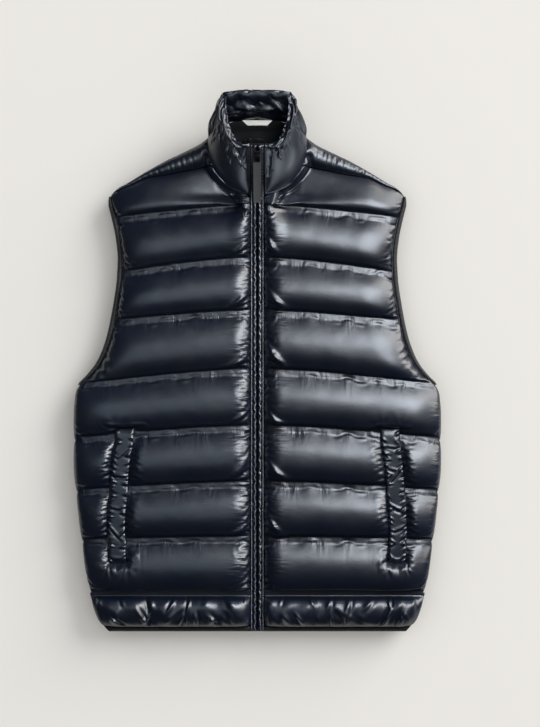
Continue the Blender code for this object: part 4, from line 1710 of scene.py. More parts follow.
@dataclass
class Collar:
    """The padded stand-up collar, open at the zip, with a puckered rolled rim."""

    base: SmoothCurve = SmoothCurve([
        (0.00, 11.0, 634, 40.5), (0.15, 29, 640, 40), (0.30, 49, 651.5, 38.5), (0.45, 65, 669, 36.5),
        (0.58, 73, 689.5, 33), (0.70, 73, 711, 29.5), (0.82, 59, 732, 25.5), (0.92, 31, 744, 23.6),
        (1.00, 0, 746.5, 23.2),
    ])
    rim: SmoothCurve = SmoothCurve([
        (0.00, 10.8, 706, 81), (0.12, 19, 707.5, 83), (0.26, 31.5, 714, 84.5), (0.42, 40.5, 731, 84.5),
        (0.57, 47.5, 751, 82.5), (0.70, 51, 768, 79.5), (0.82, 46, 780.5, 77.5), (0.92, 25, 784.5, 77),
        (1.00, 0, 785, 77),
    ])
    outer_fill: SmoothCurve = SmoothCurve([
        (0, 1.0), (0.06, 3.2), (0.18, 7.4), (0.36, 11), (0.58, 12), (0.8, 11.2), (1, 9.5),
    ])
    inner_fill: SmoothCurve = SmoothCurve([
        (0, 1.0), (0.06, 2.2), (0.2, 4.2), (0.5, 6.4), (0.8, 8.8), (1, 9.5),
    ])
    roll: float = 9.5  # the rim's radius
    seam_angle: float = math.radians(166)  # where the rim's seam runs, from outside over the top
    back_fill: float = 1.5  # how much fuller the inside is at the back
    back_roll: float = 0.45  # how much of the rim's radius is left there
    relief: float = 1.3
    back_folds: tuple[Fold, ...] = (
        ((2, 8), (22, 46), 2.6, 3.6), ((18, 4), (38, 34), 2.8, 3.4), ((-16, 10), (4, 52), 2.2, 3.6),
        ((34, 22), (44, 54), 2.0, 3.0), ((-40, 14), (-24, 48), 1.8, 3.2), ((-26, 34), (-8, 60), 1.6, 3.0),
        ((8, 36), (20, 62), 1.8, 2.8),
    )
    right_folds: tuple[Fold, ...] = (
        ((30, -18), (7, -50), 1.0, 2.6), ((40, -26), (10, -68), 1.1, 3.0), ((52, -40), (24, -82), 0.9, 3.0),
    )
    left_folds: tuple[Fold, ...] = (((64, -30), (46, -80), 1.4, 3.0),)
    pinch: Span = (0.1, 0.5)  # how deep the rim's seam is, at the back and in front
    pinch_half: float = 3.0
    rim_reach: Span = (21, 8)  # how far its creases run, outside and inside
    ripple: float = 1.7
    broad_folds: Span = (2.0, 0.5)  # inside and outside
    inner_start: float = 5.0  # how far from the rim's seam the inside begins
    cut_spare: float = 1.002
    seeds: tuple[int, int, int] = (61, 63, 65)  # of the ripples, the broad folds and the pins
    measured_station: int = 40
    softening: float = 0.3
    half_columns: int = 110
    rows: tuple[int, int, int] = (28, 15, 24)  # up the outside, over the rim, down the inside
    steps: int = 240

    def _stations(self) -> tuple[Grid, Grid, Grid, Grid]:
        """Lays out the collar's stations from the left front round to the right.

        Returns:
            The base, rim, outward direction and share round of every station.
        """
        half = np.linspace(0, 1, self.half_columns)
        share = np.concatenate([half, half[-2::-1]])
        sign = np.concatenate([np.ones(self.half_columns), -np.ones(self.half_columns - 1)])
        base, rim = self.base(share), self.rim(share)
        base[:, 0] *= sign
        rim[:, 0] *= sign
        middle = (base + rim) / 2
        along = np.gradient(middle, axis=0)
        outward = np.cross(rim - base, along)
        outward /= np.linalg.norm(outward, axis=1, keepdims=True)
        facing = (outward * (middle - np.array([0, CUT.neck_centre_y - 8, 55]))).sum(1)
        outward[facing < 0] *= -1
        return base, rim, outward, share

    def _section(self) -> tuple[Grid, Grid, Grid]:
        """The collar's section from its outer base over the rim to its inner base.

        Returns:
            Each row's share of the way up to the roll, its distance up the roll and its
            distance outwards.
        """
        outside, over, inside = self.rows
        up = np.linspace(0, 1, outside)
        turn = np.linspace(0, math.pi, over + 2)[1:-1]
        down = np.linspace(1, 0, inside)
        share = np.concatenate([up, np.ones(over), down])
        rise = np.concatenate([0 * up, self.roll * np.sin(turn), 0 * down])
        out = np.concatenate([self.outer_fill(up), self.roll * np.cos(turn), -self.inner_fill(down)])
        return share, rise, out

    def _shape(self) -> tuple[Grid, Grid]:
        """The filled collar before it is gathered.

        Returns:
            Its grid and each station's share round.
        """
        base, rim, outward, round_share = self._stations()
        share, rise, out = self._section()
        tall = np.linalg.norm(rim - base, axis=1, keepdims=True)
        upward = (rim - base) / tall
        thin = 0.55 + 0.45 * rounded(round_share, 0.14)
        inside = (out < 0) & (rise == 0)
        at_back = smooth_step((round_share - 0.62) / 0.3)
        fuller = 1 + self.back_fill * at_back[None] * (inside * np.sin(math.pi * share**0.75))[:, None]
        slim = 1 - (1 - self.back_roll) * at_back[None] * (share**3)[:, None]
        outwards = out[:, None] * thin[None] * fuller * slim
        upwards = share[:, None] * (tall.T - self.roll * thin[None] * slim)
        upwards = upwards + rise[:, None] * thin[None] * slim
        grid = base[None] + upward[None] * upwards[..., None] + outward[None] * outwards[..., None]
        return grid, round_share

    def _seam_row(self) -> int:
        """The row of the rim's seam."""
        outside, over, _ = self.rows
        return outside + int(round(self.seam_angle / math.pi * (over + 1))) - 1

    def _pinched(self, shape: Grid, away: Grid, front: Grid) -> Grid:
        """Draws the rim's seam down.

        Args:
            shape: The collar's grid.
            away: Each row's distance from the seam.
            front: 1 for the stations in front, 0 for those at the back.
        Returns:
            The grid with the seam drawn in.
        """
        upward = shape[self._seam_row()] - shape[0]
        upward /= np.linalg.norm(upward, axis=1, keepdims=True)
        depth = np.exp(-((away / self.pinch_half) ** 2))[:, None] * mix(*self.pinch, front)[None]
        return shape - upward[None] * depth[..., None]

    def _waves(self, along: Grid, tall: Grid, near: Grid, front: Grid) -> Grid:
        """Heights of the rim's creases and of the broad folds beside them.

        Args:
            along: Distance round the rim's seam.
            tall: Distance from it.
            near: 1 on the seam, falling off to 0 beside it.
            front: 1 for the stations in front, 0 for those at the back.
        Returns:
            A height for every point of the grid.
        """
        fine, coarse, _ = self.seeds
        ripple = self.ripple * uneven_waves(along, 0.8 * tall, 9.5, fine) * near * mix(0.12, 1.0, front)[None]
        broad = uneven_waves(along, 1.6 * tall, 30.0, coarse) * (1 - near)
        return ripple + broad * np.where(tall > self.inner_start, *self.broad_folds)

    def _held(self, shape: Grid) -> Grid:
        """Where the collar is held: at its edges and at pins along the rim's seam.

        Args:
            shape: The collar's grid.
        Returns:
            1 for a held point and 0 for a free one.
        """
        held = sewn_border(*shape.shape[:2])
        pins = np.cumsum(np.random.default_rng(self.seeds[2]).integers(4, 11, shape.shape[1]))
        held[self._seam_row(), pins[pins < shape.shape[1]]] = 1
        return held

    def build(self) -> None:
        """Simulates, dresses and places the collar."""
        shape, share = self._shape()
        seam = self._seam_row()
        away = distance_along(shape[:, self.measured_station])
        away = away - away[seam]
        front = 1 - smooth_step((share - 0.36) / 0.26)
        shape = self._pinched(shape, away, front)
        along, tall = np.meshgrid(distance_along(shape[seam]), away)
        near = np.exp(-((away / np.where(away < 0, *self.rim_reach)) ** 2))[:, None]
        held = self._held(shape)
        direction = np.cross(np.gradient(shape, axis=0), np.gradient(shape, axis=1))
        direction /= np.maximum(np.linalg.norm(direction, axis=2, keepdims=True), 1e-9)
        points = shape + direction * ((1 - held) * self._waves(along, tall, near, front))[..., None]
        gather = mix(0.02, 0.24, front)[None, :-1] * near
        at_back = smooth_step((share[:-1] - 0.6) / 0.3)[None]
        slack = np.where(away > self.inner_start, 0.11, 0.0)[:, None] * at_back
        across = spans(shape, 1) * (self.cut_spare + gather + slack)
        down = spans(shape, 0) * (self.cut_spare + 0.02 * near[1:])
        turned = [grid[:, ::-1] for grid in (points, held, down, across, shape)]
        cloth = SlackCloth(*turned, bend=0.08, sag=0.001, pressure=0.010)
        skin = soften(cloth.relax(self.steps), held[:, ::-1], self.softening)
        skin += (direction * ((1 - held) * self._relief(along, tall))[..., None])[:, ::-1]
        piece = self._closed(skin)
        settle(piece, OuterNylon(), "shell_nylon", "collar")

    def _relief(self, along: Grid, tall: Grid) -> Grid:
        """Heights of the larger folds, on the inner back and down the two fronts.

        Args:
            along: Distance round the rim's seam from the left front's edge.
            tall: Distance from the rim's seam, below 0 outside.
        Returns:
            A height for every point of the grid.
        """
        total = np.zeros_like(along)
        starts = (along.max() / 2 - along, along.max() - along, along)
        for run, folds in zip(starts, (self.back_folds, self.right_folds, self.left_folds)):
            plan = np.stack([run, tall], -1)
            for start, end, height, width in folds:
                total += self.relief * height * fold(plan, start, end, width)
        return total

    def _closed(self, skin: Grid) -> Piece:
        """Closes the skin's two ends and its base.

        Args:
            skin: The settled grid.
        Returns:
            The closed piece.
        """
        rows, columns = skin.shape[:2]
        faces = grid_faces(rows, columns)
        for c in range(columns - 1):
            faces.append((c, c + 1, (rows - 1) * columns + c + 1, (rows - 1) * columns + c))
        for c in (0, columns - 1):
            faces.append(tuple(r * columns + c for r in range(rows)))
        return add_piece("stand_collar", to_world(skin.reshape(-1, 3)), faces)


@dataclass
class Placket:
    """A folded strip beside the zip, slightly puckered along its length."""

    side: Side
    profile: tuple[Spot, ...] = (
        (0.6, 1.6), (0.8, 3.8), (1.4, 5.2), (2.2, 5.6), (3.2, 5.4), (4.2, 5.15), (5.0, 4.8), (6.0, 3.9),
        (7.0, 3.0), (7.8, 3.0), (8.6, 3.5), (9.3, 3.4), (9.8, 2.6),
    )
    sewn_column: int = -4
    low: float = 1.3
    ripple: float = 0.35
    ripple_length: float = 9.0
    spare: float = 1.045
    spare_across: float = 1.02
    seeds: tuple[int, int] = (71, 77)
    rows: int = 420
    steps: int = 160
    start: float = 1.0
    end: float = 704.0

    def build(self) -> None:
        """Simulates, dresses and places the strip."""
        heights = np.linspace(self.start, self.end, self.rows)
        line, out = CUT.zip_frame(heights)
        columns = np.array(self.profile)
        aside, along = np.meshgrid(columns[:, 0], heights)
        shape = line[:, None] + out[:, None] * columns[None, :, 1:]
        shape[..., 0] += aside
        held = sewn_border(*aside.shape)
        held[:, self.sewn_column] = 1
        ripple = self.ripple * uneven_waves(along, aside, self.ripple_length, self.side.pick(self.seeds))
        points = shape + out[:, None] * ((1 - held) * ripple)[..., None]
        down, across = spans(shape, 0) * self.spare, spans(shape, 1) * self.spare_across
        cloth = SlackCloth(points, held, down, across, shape, bend=0.08, sag=0.0, pressure=0.004)
        skin = cloth.relax(self.steps)
        under = line[:, None] + out[:, None] * self.low + 0 * skin
        under[..., 0] = aside
        for grid in (skin, under):
            grid[..., 0] *= self.side.value
        piece = closed_strip(f"folded_placket_{self.side.label}", skin, under)
        settle(piece, PressedNylon(), "shell_nylon", f"placket_{self.side.label}")


@dataclass
class Binding:
    """A narrow elastic binding with a rounded, slightly wavy section."""

    thickness: float = 4.0
    section: tuple[float, ...] = (0.35, 0.85, 1.0, 0.95, 0.75, 0.3)
    ripple: float = 0.13
    ripple_length: float = 5.0
    armhole_top: float = 633.0
    armhole_rows: int = 150
    hem_rows: int = 170
    armhole_seed: int = 81
    hem_seed: int = 91

    def _strip(self, name: str, inner: Grid, outer: Grid, face: Face, seed: int) -> Piece:
        """Makes a strip between two plan lines.

        Args:
            name: The strip's name.
            inner: The line beside the panel, as plan points.
            outer: The free edge's line.
            face: The layer that it binds.
            seed: Which set of ripples.
        Returns:
            The strip.
        """
        level = CUT.front_level if face is Face.FRONT else CUT.mid_level - CUT.seam_gap
        share = np.linspace(0, 1, len(self.section))
        plan = mix(inner[:, None], outer[:, None], share[None, :, None])
        run = distance_along(outer)
        ripple = 1 + self.ripple * uneven_waves(run, 0 * run, self.ripple_length, seed)
        rise = face.value * self.thickness * np.array(self.section)[None] * ripple[:, None]
        flat = np.full_like(rise, level)
        top = np.concatenate([plan, (level + rise)[..., None]], -1)
        return closed_strip(name, top, np.concatenate([plan, flat[..., None]], -1))

    def _finish(self, piece: Piece, solid: str) -> None:
        """Dresses and places a strip."""
        settle(piece, ElasticRib(), "elastic_binding", solid)

    def build_armhole(self, side: Side, face: Face) -> None:
        """Makes the binding along one layer of an armhole.

        Args:
            side: The armhole's side.
            face: The layer that it binds.
        """
        y = np.linspace(CUT.binding_low_y, self.armhole_top, self.armhole_rows)
        inner = np.stack([CUT.panel_half_width(y) + CUT.seam_gap, y], -1)
        outer = np.stack([CUT.outline(y), y], -1)
        tip = smooth_step((y - 612) / 24)[:, None]
        outer = mix(outer, np.stack([np.full_like(y, CUT.top_end + 1.0), y], -1), 0.85 * tip)
        for line in (inner, outer):
            line[:, 0] *= side.value
        name = f"{face.name.lower()}_{side.label}"
        piece = self._strip(f"armhole_elastic_{name}", inner, outer, face, self.armhole_seed)
        self._finish(piece, f"armhole_binding_{name}")

    def build_hem(self, name: str, start: float, end: float, face: Face) -> None:
        """Makes the binding along a stretch of the hem.

        Args:
            name: The stretch's name inside piece names.
            start: Where it begins across the vest.
            end: Where it ends.
            face: The layer that it binds.
        """
        x = np.linspace(start, end, self.hem_rows)
        wider = float(CUT.outline(CUT.hem_binding_height) / CUT.outline(0.0))
        reach = np.where(np.abs(x) > CUT.zip_edge, wider, 1.0)
        inner = np.stack([x * reach, np.full_like(x, CUT.hem_binding_height)], -1)
        outer = np.stack([x, np.zeros_like(x)], -1)
        piece = self._strip(f"hem_elastic_{name}", inner, outer, face, self.hem_seed)
        self._finish(piece, f"hem_binding_{name}")


# Zip


def zip_row(name: str, heights: Grid, centres: list[Size], half: Size, taper: Spot) -> Piece:
    """Makes small tapered blocks along the zip.

    Args:
        name: The piece's name.
        heights: Where along the vest the blocks sit.
        centres: The blocks' middles at each height: across, along and out of the zip.
        half: A block's half sizes in the same order.
        taper: How much of its width and length is left at its top.
    Returns:
        The blocks as one piece.
    """
    corners, faces = [], []
    line, out = CUT.zip_frame(heights)
    for place, normal, forward in zip(line, out, np.cross(out, ACROSS)):
        for across, along, level in centres:
            first = len(corners)
            for z in (-1, 1):
                wide, long = taper if z > 0 else (1.0, 1.0)
                for x, y in BLOCK_CORNERS:
                    spot = place + forward * (along + y * half[1] * long) + normal * (level + z * half[2])
                    corners.append(spot + ACROSS * (across + x * half[0] * wide))
            faces += [tuple(first + corner for corner in face) for face in BLOCK_FACES]
    return add_piece(name, to_world(np.array(corners)), faces)


@dataclass
class ZipChain:
    """The zip's coil: two rows of small rounded teeth that lock in the middle."""

    pitch: float = 1.6
    half_tooth: Size = (1.35, 0.55, 0.75)
    taper: Spot = (1.0, 0.75)
    offset: float = 1.25
    start: float = 2.0
    end: float = 703.0

    def build(self) -> None:
        """Makes, dresses and places the coil."""
        heights = np.arange(self.start, self.end, self.pitch)
        centres = [(sign * self.offset, sign * self.pitch / 4, 0.0) for sign in (-1, 1)]
        piece = zip_row("zip_coil", heights, centres, self.half_tooth, self.taper)
        settle(piece, CoilNylon(), "zip_teeth", "zip_chain")


@dataclass
class StitchRow:
    """The row of sewing along a placket."""

    side: Side
    spacing: float = 4.4
    length: float = 2.4
    width: float = 1.0
    taper: Spot = (0.6, 0.6)
    offset: float = 7.6
    level: float = 3.2
    start: float = 4.0
    end: float = 702.0

    def build(self) -> None:
        """Makes, dresses and places the stitches."""
        heights = np.arange(self.start, self.end, self.spacing)
        centre = (self.side.value * self.offset, 0.0, self.level)
        half = (self.side.value * self.width / 2, self.length / 2, self.width / 2)
        piece = zip_row(f"placket_stitches_{self.side.label}", heights, [centre], half, self.taper)
        settle(piece, SewingThread(), "zip_teeth")


def deselect() -> None:
    """Clears the selection, so that an operator acts on the new piece alone."""
    if bpy.context.object is not None and bpy.context.object.mode != "OBJECT":
        bpy.ops.object.mode_set(mode="OBJECT")
    bpy.ops.object.select_all(action="DESELECT")


def new_block(name: str, size: Size, centre: Size) -> Piece:
    """Adds a block of a size in millimetres around the piece's own origin.

    Args:
        name: The block's name.
        size: Its sides.
        centre: Its middle.
    Returns:
        The block, selected and active.
    """
    deselect()
    bpy.ops.mesh.primitive_cube_add(size=1, location=(0, 0, 0))
    block = bpy.context.object
    block.name = name
    block.data.name = name
    block.data.transform(Matrix.Translation(centre) @ Matrix.Diagonal((*size, 1)))
    return block


def bevel_all(width: float, segments: int = 2) -> None:
    """Rounds the active block's edges with the bevel operator.

    Args:
        width: The rounding's width.
        segments: How many faces it has across.
    """
    bpy.ops.object.mode_set(mode="EDIT")
    bpy.ops.mesh.select_all(action="SELECT")
    bpy.ops.mesh.bevel(offset=width, segments=segments, affect="EDGES")
    bpy.ops.object.mode_set(mode="OBJECT")


def join_into(target: Piece, *others: Piece) -> None:
    """Joins pieces into one with the join operator.

    Args:
        target: The piece that stays.
        others: The pieces that go into it.
    """
    deselect()
    for piece in (*others, target):
        piece.select_set(True)
    bpy.context.view_layer.objects.active = target
    bpy.ops.object.join()


@dataclass
class ZipPull:
    """The slider at the top of the zip with its bridge, link and long tab."""

    slider_y: float = 692.5
    seat: float = 5.7
    body_size: Size = (8.4, 13.0, 3.2)
    pin_level: float = 1.75
    slope: float = math.radians(31.2)
    tab_length: float = 64.0
    tab_width: float = 11.0
    tab_thickness: float = 2.4
    link_reach: float = 9.85

    bridge_section: Spot = (2.2, 1.3)
    bridge_radius: float = 3.95
    bridge_sunk: float = 0.1
    waist: float = 0.14
    body_rounding: float = 0.5
    link_rounding: float = 0.35
    link_half: float = 4.3
    link_bar: float = 1.5
    link_window: float = 7.6
    link_thickness: float = 1.4
    tab_gap: float = 0.35
    tab_corner: float = 2.6
    tab_rim: float = 0.55
    tab_slope: Spot = (0.45, 0.35)  # width and depth of the step down to the sunk face
    tab_rounding: float = 0.4
    sharp_angle: float = math.radians(35)

    def _slider_matrix(self) -> Matrix:
        """The slider's own frame: x across, y up the zip, z out of it.

        Returns:
            The frame's matrix.
        """
        place, out = (array[0] for array in CUT.zip_frame(np.array([self.slider_y])))
        normal = Vector(out)
        along = normal.cross(Vector((1, 0, 0)))
        turn = Matrix((Vector((1, 0, 0)), along, normal)).transposed().to_4x4()
        spot = Vector(to_world(place + out * self.seat))
        return Matrix.Translation(spot) @ turn @ TO_METRES

    def _pull_matrix(self) -> Matrix:
        """The pull's own frame, with its origin on the pivot."""
        pivot = self._slider_matrix() @ Vector((0, 0, self.body_size[2] + self.pin_level))
        return Matrix.Translation(pivot) @ Matrix.Rotation(self.slope, 4, "X") @ TO_METRES

    def _place(self, piece: Piece, matrix: Matrix) -> None:
        """Puts a finished piece's mesh in its place and shades it.

        Args:
            piece: The piece.
            matrix: Where its own frame lies.
        """
        piece.data.transform(matrix)
        piece.data.shade_smooth()
        piece.data.set_sharp_from_angle(angle=self.sharp_angle)

    def build_slider(self) -> None:
        """Models the slider's body and bridge."""
        body = new_block("slider_body", self.body_size, (0, 0, self.body_size[2] / 2))
        bpy.ops.object.mode_set(mode="EDIT")
        bpy.ops.mesh.select_all(action="SELECT")
        bpy.ops.mesh.subdivide(number_cuts=3)
        bpy.ops.object.mode_set(mode="OBJECT")
        for corner in body.data.vertices:
            waist = 1 - self.waist * smooth_step(0.5 - corner.co.y / self.body_size[1])
            corner.co.x *= float(waist)
        bevel_all(self.body_rounding)
        join_into(body, self._bridge())
        self._place(body, self._slider_matrix())
        body.name = "enamel_slider"
        settle(body, DarkEnamel(), "slider_metal", "zip_slider")

    def _bridge(self) -> Piece:
        """Spins the bridge's square section over the slider's body.

        Returns:
            The bridge.
        """
        deselect()
        bpy.ops.mesh.primitive_plane_add(size=1, location=(0, 0, 0))
        bridge = bpy.context.object
        bridge.name = "slider_bridge"
        foot = self.body_size[2] - self.bridge_sunk
        section = Matrix.Diagonal((*self.bridge_section, 1, 1))
        bridge.data.transform(Matrix.Translation((0, -self.bridge_radius, foot)) @ section)
        bpy.ops.object.mode_set(mode="EDIT")
        bpy.ops.mesh.select_all(action="SELECT")
        bpy.ops.mesh.spin(steps=14, angle=math.pi, center=(0, 0, foot), axis=(-1, 0, 0))
        bpy.ops.mesh.select_all(action="SELECT")
        bpy.ops.mesh.normals_make_consistent(inside=False)
        bpy.ops.object.mode_set(mode="OBJECT")
        return bridge

    def build_link(self) -> None:
        """Models the metal link that hangs in the bridge."""
        half, bar, thick = self.link_half, self.link_bar, self.link_thickness
        low = -bar / 2 - self.link_window - bar / 2
        level, upright = (2 * half, bar, thick), (bar, self.link_window + bar, thick)
        parts = [
            (level, (0, 0, 0)), (level, (0, low, 0)),
            (upright, (half - bar / 2, low / 2, 0)), (upright, (bar / 2 - half, low / 2, 0)),
        ]
        bars = []
        for n, (size, centre) in enumerate(parts):
            bars.append(new_block(f"link_bar_{n}", size, centre))
            bevel_all(self.link_rounding)
        link = bars[0]
        join_into(link, *bars[1:])
        self._place(link, self._pull_matrix())
        link.name = "enamel_link"
        settle(link, DarkEnamel(), "slider_metal", "pull_link", body=PULL_BODY)

    def build_tab(self) -> None:
        """Models the long tab with a sunk face and a rounded rim."""
        middle = -self.link_reach - self.tab_gap - self.tab_length / 2
        size = (self.tab_width, self.tab_length, self.tab_thickness)
        tab = new_block("pull_tab_body", size, (0, middle, 0))
        bpy.ops.object.mode_set(mode="EDIT")
        work = bmesh.from_edit_mesh(tab.data)
        for edge in work.edges:
            edge.select = abs(edge.verts[0].co.z - edge.verts[1].co.z) > 1.0
        bmesh.update_edit_mesh(tab.data)
        bpy.ops.mesh.bevel(offset=self.tab_corner, segments=6, affect="EDGES")
        work = bmesh.from_edit_mesh(tab.data)
        for face in work.faces:
            face.select = face.normal.z > 0.9
        bmesh.update_edit_mesh(tab.data)
        bpy.ops.mesh.inset(thickness=self.tab_rim, depth=0.0)
        bpy.ops.mesh.inset(thickness=self.tab_slope[0], depth=-self.tab_slope[1])
        bpy.ops.object.mode_set(mode="OBJECT")
        round_edges = tab.modifiers.new("round_edges", "BEVEL")
        round_edges.width = self.tab_rounding
        round_edges.segments = 3
        round_edges.limit_method = "ANGLE"
        bpy.ops.object.modifier_apply(modifier="round_edges")
        self._place(tab, self._pull_matrix())
        tab.name = "rubber_tab"
        settle(tab, PullRubber(), "pull_rubber", "pull_tab", body=PULL_BODY)


@dataclass
class NeckTrim:
    """The blank label at the back neck and the guard behind the zip's top."""

    label_low: float = 737.0
    label_high: float = 744.8
    label_half: float = 22.5
    label_slant: float = 8.0
    label_gap: float = 0.15
    label_thickness: float = 0.7
    label_bow: float = 0.9
    label_wave: float = 0.12
    label_grid: tuple[int, int] = (9, 41)
    guard_ends: Span = (648.0, 709.0)
    guard_sides: Span = (-21.0, 9.0)
    guard_grid: tuple[int, int] = (46, 25)
    guard_level: float = -8.4
    guard_thickness: float = 1.0
    guard_swell: float = 2.6
    guard_ripple: float = 0.4
    guard_corner: float = 3.5
    guard_seed: int = 95

    def build_label(self) -> None:
        """Makes the blank label with its ends folded under."""
        rows, columns = self.label_grid
        share, step = np.meshgrid(np.linspace(-1, 1, columns), np.linspace(0, 1, rows))
        x = mix(self.label_half - self.label_slant, self.label_half, step) * share
        y = mix(self.label_low, self.label_high, step)
        bow = self.label_bow * (1 - share**2) * np.sin(math.pi * step) + self.label_wave * np.sin(9 * share)
        low = np.stack([x, y, np.full_like(x, CUT.mid_level + self.label_gap)], -1)
        top = low.copy()
        top[..., 2] += self.label_thickness + bow
        piece = closed_strip("blank_label", top, low)
        settle(piece, LabelSatin(), "label_satin", "neck_label")

    def build_guard(self) -> None:
        """Makes the soft facing that shows behind the zip's top."""
        rows, columns = self.guard_grid
        heights = np.linspace(*self.guard_ends, rows)
        line, out = CUT.zip_frame(heights)
        x, y = np.meshgrid(np.linspace(*self.guard_sides, columns), heights)
        corner = self.guard_corner * np.abs((x + 6) / 15) ** 4 * smooth_step((y - 684) / 25)
        ripple = self.guard_ripple * uneven_waves(x, y, 9.0, self.guard_seed)
        swell = self.guard_swell * (1 - np.abs((x + 6) / 15.2) ** 3) * rounded(710 - y, 12)
        top = line[:, None] + out[:, None] * (self.guard_level + swell + ripple)[..., None]
        under = line[:, None] + out[:, None] * (self.guard_level - self.guard_thickness) + 0 * top
        for grid in (top, under):
            grid[..., 0] = x
            grid[..., 1] -= corner
        piece = closed_strip("zip_facing", top, under)
        settle(piece, LiningNylon(), "lining_nylon", "zip_guard")


# Studio


class Reach(Enum):
    """What a studio light acts on."""

    ALL = "all"
    GLOSS = "gloss"
    MATTE = "matte"


@dataclass(frozen=True)
class Softbox:
    """A rectangular studio light.

    Its brightness is that of its face, so that moving it keeps the look of its reflection.
    """

    name: str
    place: Size
    target: Size
    size: Spot
    brightness: float
    reach: Reach = Reach.ALL
    colour: Colour = (1.0, 1.0, 1.0)
    pieces: tuple[str, ...] = ()  # the only pieces that it lights, where it isn't for all
    spared: tuple[str, ...] = ()  # the only pieces that it doesn't light

    def build(self) -> None:
        """Adds the light."""
        lamp = bpy.data.lights.new(self.name, "AREA")
        lamp.shape = "RECTANGLE"
        lamp.size, lamp.size_y = self.size
        lamp.energy = self.brightness * math.pi * self.size[0] * self.size[1]
        lamp.color = self.colour
        holder = bpy.data.objects.new(self.name, lamp)
        holder.location = self.place
        aim = Vector(self.target) - Vector(self.place)
        holder.rotation_euler = aim.to_track_quat("-Z", "Y").to_euler()
        holder.visible_diffuse = self.reach is not Reach.GLOSS
        holder.visible_glossy = self.reach is not Reach.MATTE
        holder.visible_camera = False
        bpy.context.scene.collection.objects.link(holder)
        if self.pieces or self.spared:
            holder.light_linking.receiver_collection = self._receivers()

    def _receivers(self) -> bpy.types.Collection:
        """The pieces that the light is kept to, or kept off.

        Returns:
            The pieces' collection.
        """
        chosen = bpy.data.collections.new(f"{self.name}_pieces")
        for name in self.pieces + self.spared:
            chosen.objects.link(bpy.data.objects[name])
        for entry in chosen.collection_objects:
            entry.light_linking.link_state = "EXCLUDE" if self.spared else "INCLUDE"
        return chosen


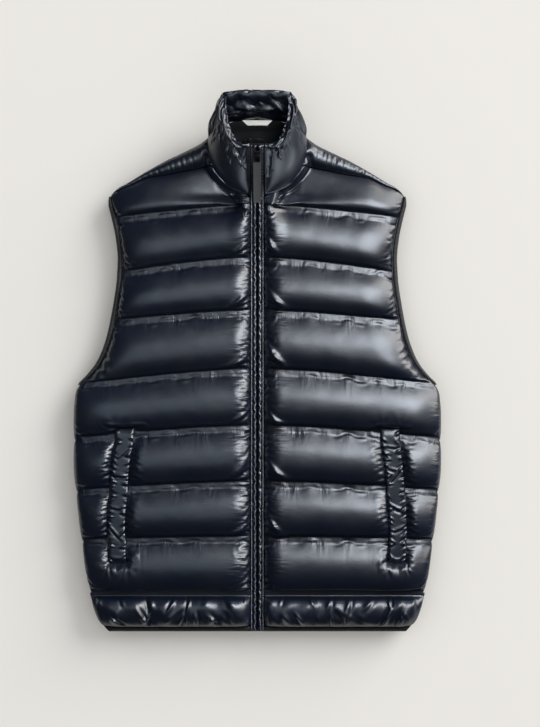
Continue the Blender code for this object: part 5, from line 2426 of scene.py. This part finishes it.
@dataclass
class Studio:
    """The pale floor, soft light from the right and the camera straight above."""

    view_height: float = 3.4
    frame_height: float = 1.054  # what the photograph's frame covers, in metres
    centre: Spot = (0.0184, -0.0028)
    sharp_level: float = 0.04
    room_light: float = 0.66
    room_colour: Colour = (1.0, 0.997, 0.994)
    floor_size: float = 14.0
    sensor: float = 24.0
    lights: tuple[Softbox, ...] = (
        Softbox(
            "key_light", (10.1, 7.9, 5.06), (0.0, 0.0, 0.0), (10.1, 10.1), 7.0,
            Reach.ALL, (1.0, 0.985, 0.96),
        ),
        Softbox(
            "upper_card", (0.46, 0.47, 0.95), (0.2, 0.05, 0.0), (0.55, 0.66), 12.8,
            Reach.GLOSS, (0.86, 0.92, 1.0),
        ),
        Softbox(
            "left_card", (-0.35, 0.12, 1.5), (-0.15, 0.02, 0.0), (0.8, 1.1), 1.0,
            Reach.GLOSS, (0.72, 0.86, 1.0), spared=("quilted_front_left",),
        ),
        Softbox(
            "collar_card", (0.3, -0.75, 0.75), (0.0, 0.29, 0.05), (1.3, 0.6), 1.6,
            Reach.GLOSS, (0.8, 0.9, 1.0), ("stand_collar",),
        ),
        Softbox(
            "collar_back_card", (0.35, -0.45, 0.95), (0.0, 0.38, 0.06), (0.5, 0.5), 2.5,
            Reach.GLOSS, (0.8, 0.9, 1.0), ("stand_collar",),
        ),
        Softbox(
            "collar_edge_card", (0.9, -0.2, 0.38), (0.06, 0.27, 0.06), (0.5, 0.22), 5.0,
            Reach.GLOSS, (0.86, 0.93, 1.0), ("stand_collar",),
        ),
        Softbox(
            "zip_card", (0.5, 0.0, 1.1), (0.0, 0.0, 0.05), (1.6, 0.34), 7.0,
            Reach.GLOSS, (0.9, 0.95, 1.0), (
                "folded_placket_left", "folded_placket_right",
                "placket_stitches_left", "placket_stitches_right",
            ),
        ),
        Softbox(
            "label_lamp", (0.1, 0.1, 1.0), (0.0, 0.35, 0.02), (0.4, 0.4), 9.0,
            Reach.MATTE, (1.0, 1.0, 0.98), ("blank_label",),
        ),
    )

    def build(self) -> None:
        """Sets up floor, lights and camera, once the pieces are there."""
        self._floor()
        self._world()
        for light in self.lights:
            light.build()
        self._camera()

    def _floor(self) -> None:
        """Adds the floor."""
        deselect()
        bpy.ops.mesh.primitive_grid_add(x_subdivisions=4, y_subdivisions=4, size=self.floor_size)
        floor = bpy.context.object
        floor.name = "studio_floor"
        PalePaper().dress(floor)

    def _world(self) -> None:
        """Adds the even light of the room, which the cloth's gloss doesn't mirror."""
        world = bpy.data.worlds.new("studio_room")
        bpy.context.scene.world = world
        world.use_nodes = True
        shade = world.node_tree.nodes["Background"]
        shade.inputs["Color"].default_value = (*self.room_colour, 1)
        shade.inputs["Strength"].default_value = self.room_light
        world.cycles_visibility.glossy = False

    def _camera(self) -> None:
        """Adds the camera straight above the vest."""
        data = bpy.data.cameras.new("overhead_camera")
        data.sensor_fit = "VERTICAL"
        data.sensor_height = self.sensor
        distance = self.view_height - self.sharp_level
        data.lens = self.sensor * distance / self.frame_height
        camera = bpy.data.objects.new("overhead_camera", data)
        camera.location = (*self.centre, self.view_height)
        bpy.context.scene.collection.objects.link(camera)
        bpy.context.scene.camera = camera
        bpy.context.scene.view_settings.view_transform = "Standard"


def dress_tapes(nodes: dict[str, Piece]) -> None:
    """Gives the zip's tapes, which keep their solids, a woven finish."""
    for side in Side:
        WovenTape().dress(nodes[f"zip_tape_{side.label}"])


def build_vest() -> None:
    """Builds every piece of the vest in the order in which it is sewn."""
    binding = Binding()
    hem_end = float(CUT.outline(0.0))
    BackPanel().build()
    for side in Side:
        panel = FrontPanel(side)
        panel.build()
        PocketWelt(side).build(panel)
        for sewn in (HemChannel, Shoulder, Placket, StitchRow):
            sewn(side).build()
        for face in Face:
            binding.build_armhole(side, face)
        binding.build_hem(f"front_{side.label}", CUT.zip_edge * side.value, hem_end * side.value, Face.FRONT)
    binding.build_hem("back", -hem_end, hem_end, Face.BACK)
    Collar().build()
    ZipChain().build()
    pull = ZipPull()
    pull.build_slider()
    pull.build_link()
    pull.build_tab()
    trim = NeckTrim()
    trim.build_label()
    trim.build_guard()


def main() -> None:
    """Loads the solids, dresses them and sets up the studio."""
    logging.basicConfig(level=logging.INFO, format="%(name)s: %(message)s")
    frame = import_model()
    build_vest()
    Studio().build()
    dress_tapes({name: bpy.data.objects[name] for name in frame["nodes"]})


if __name__ == "__main__":
    main()
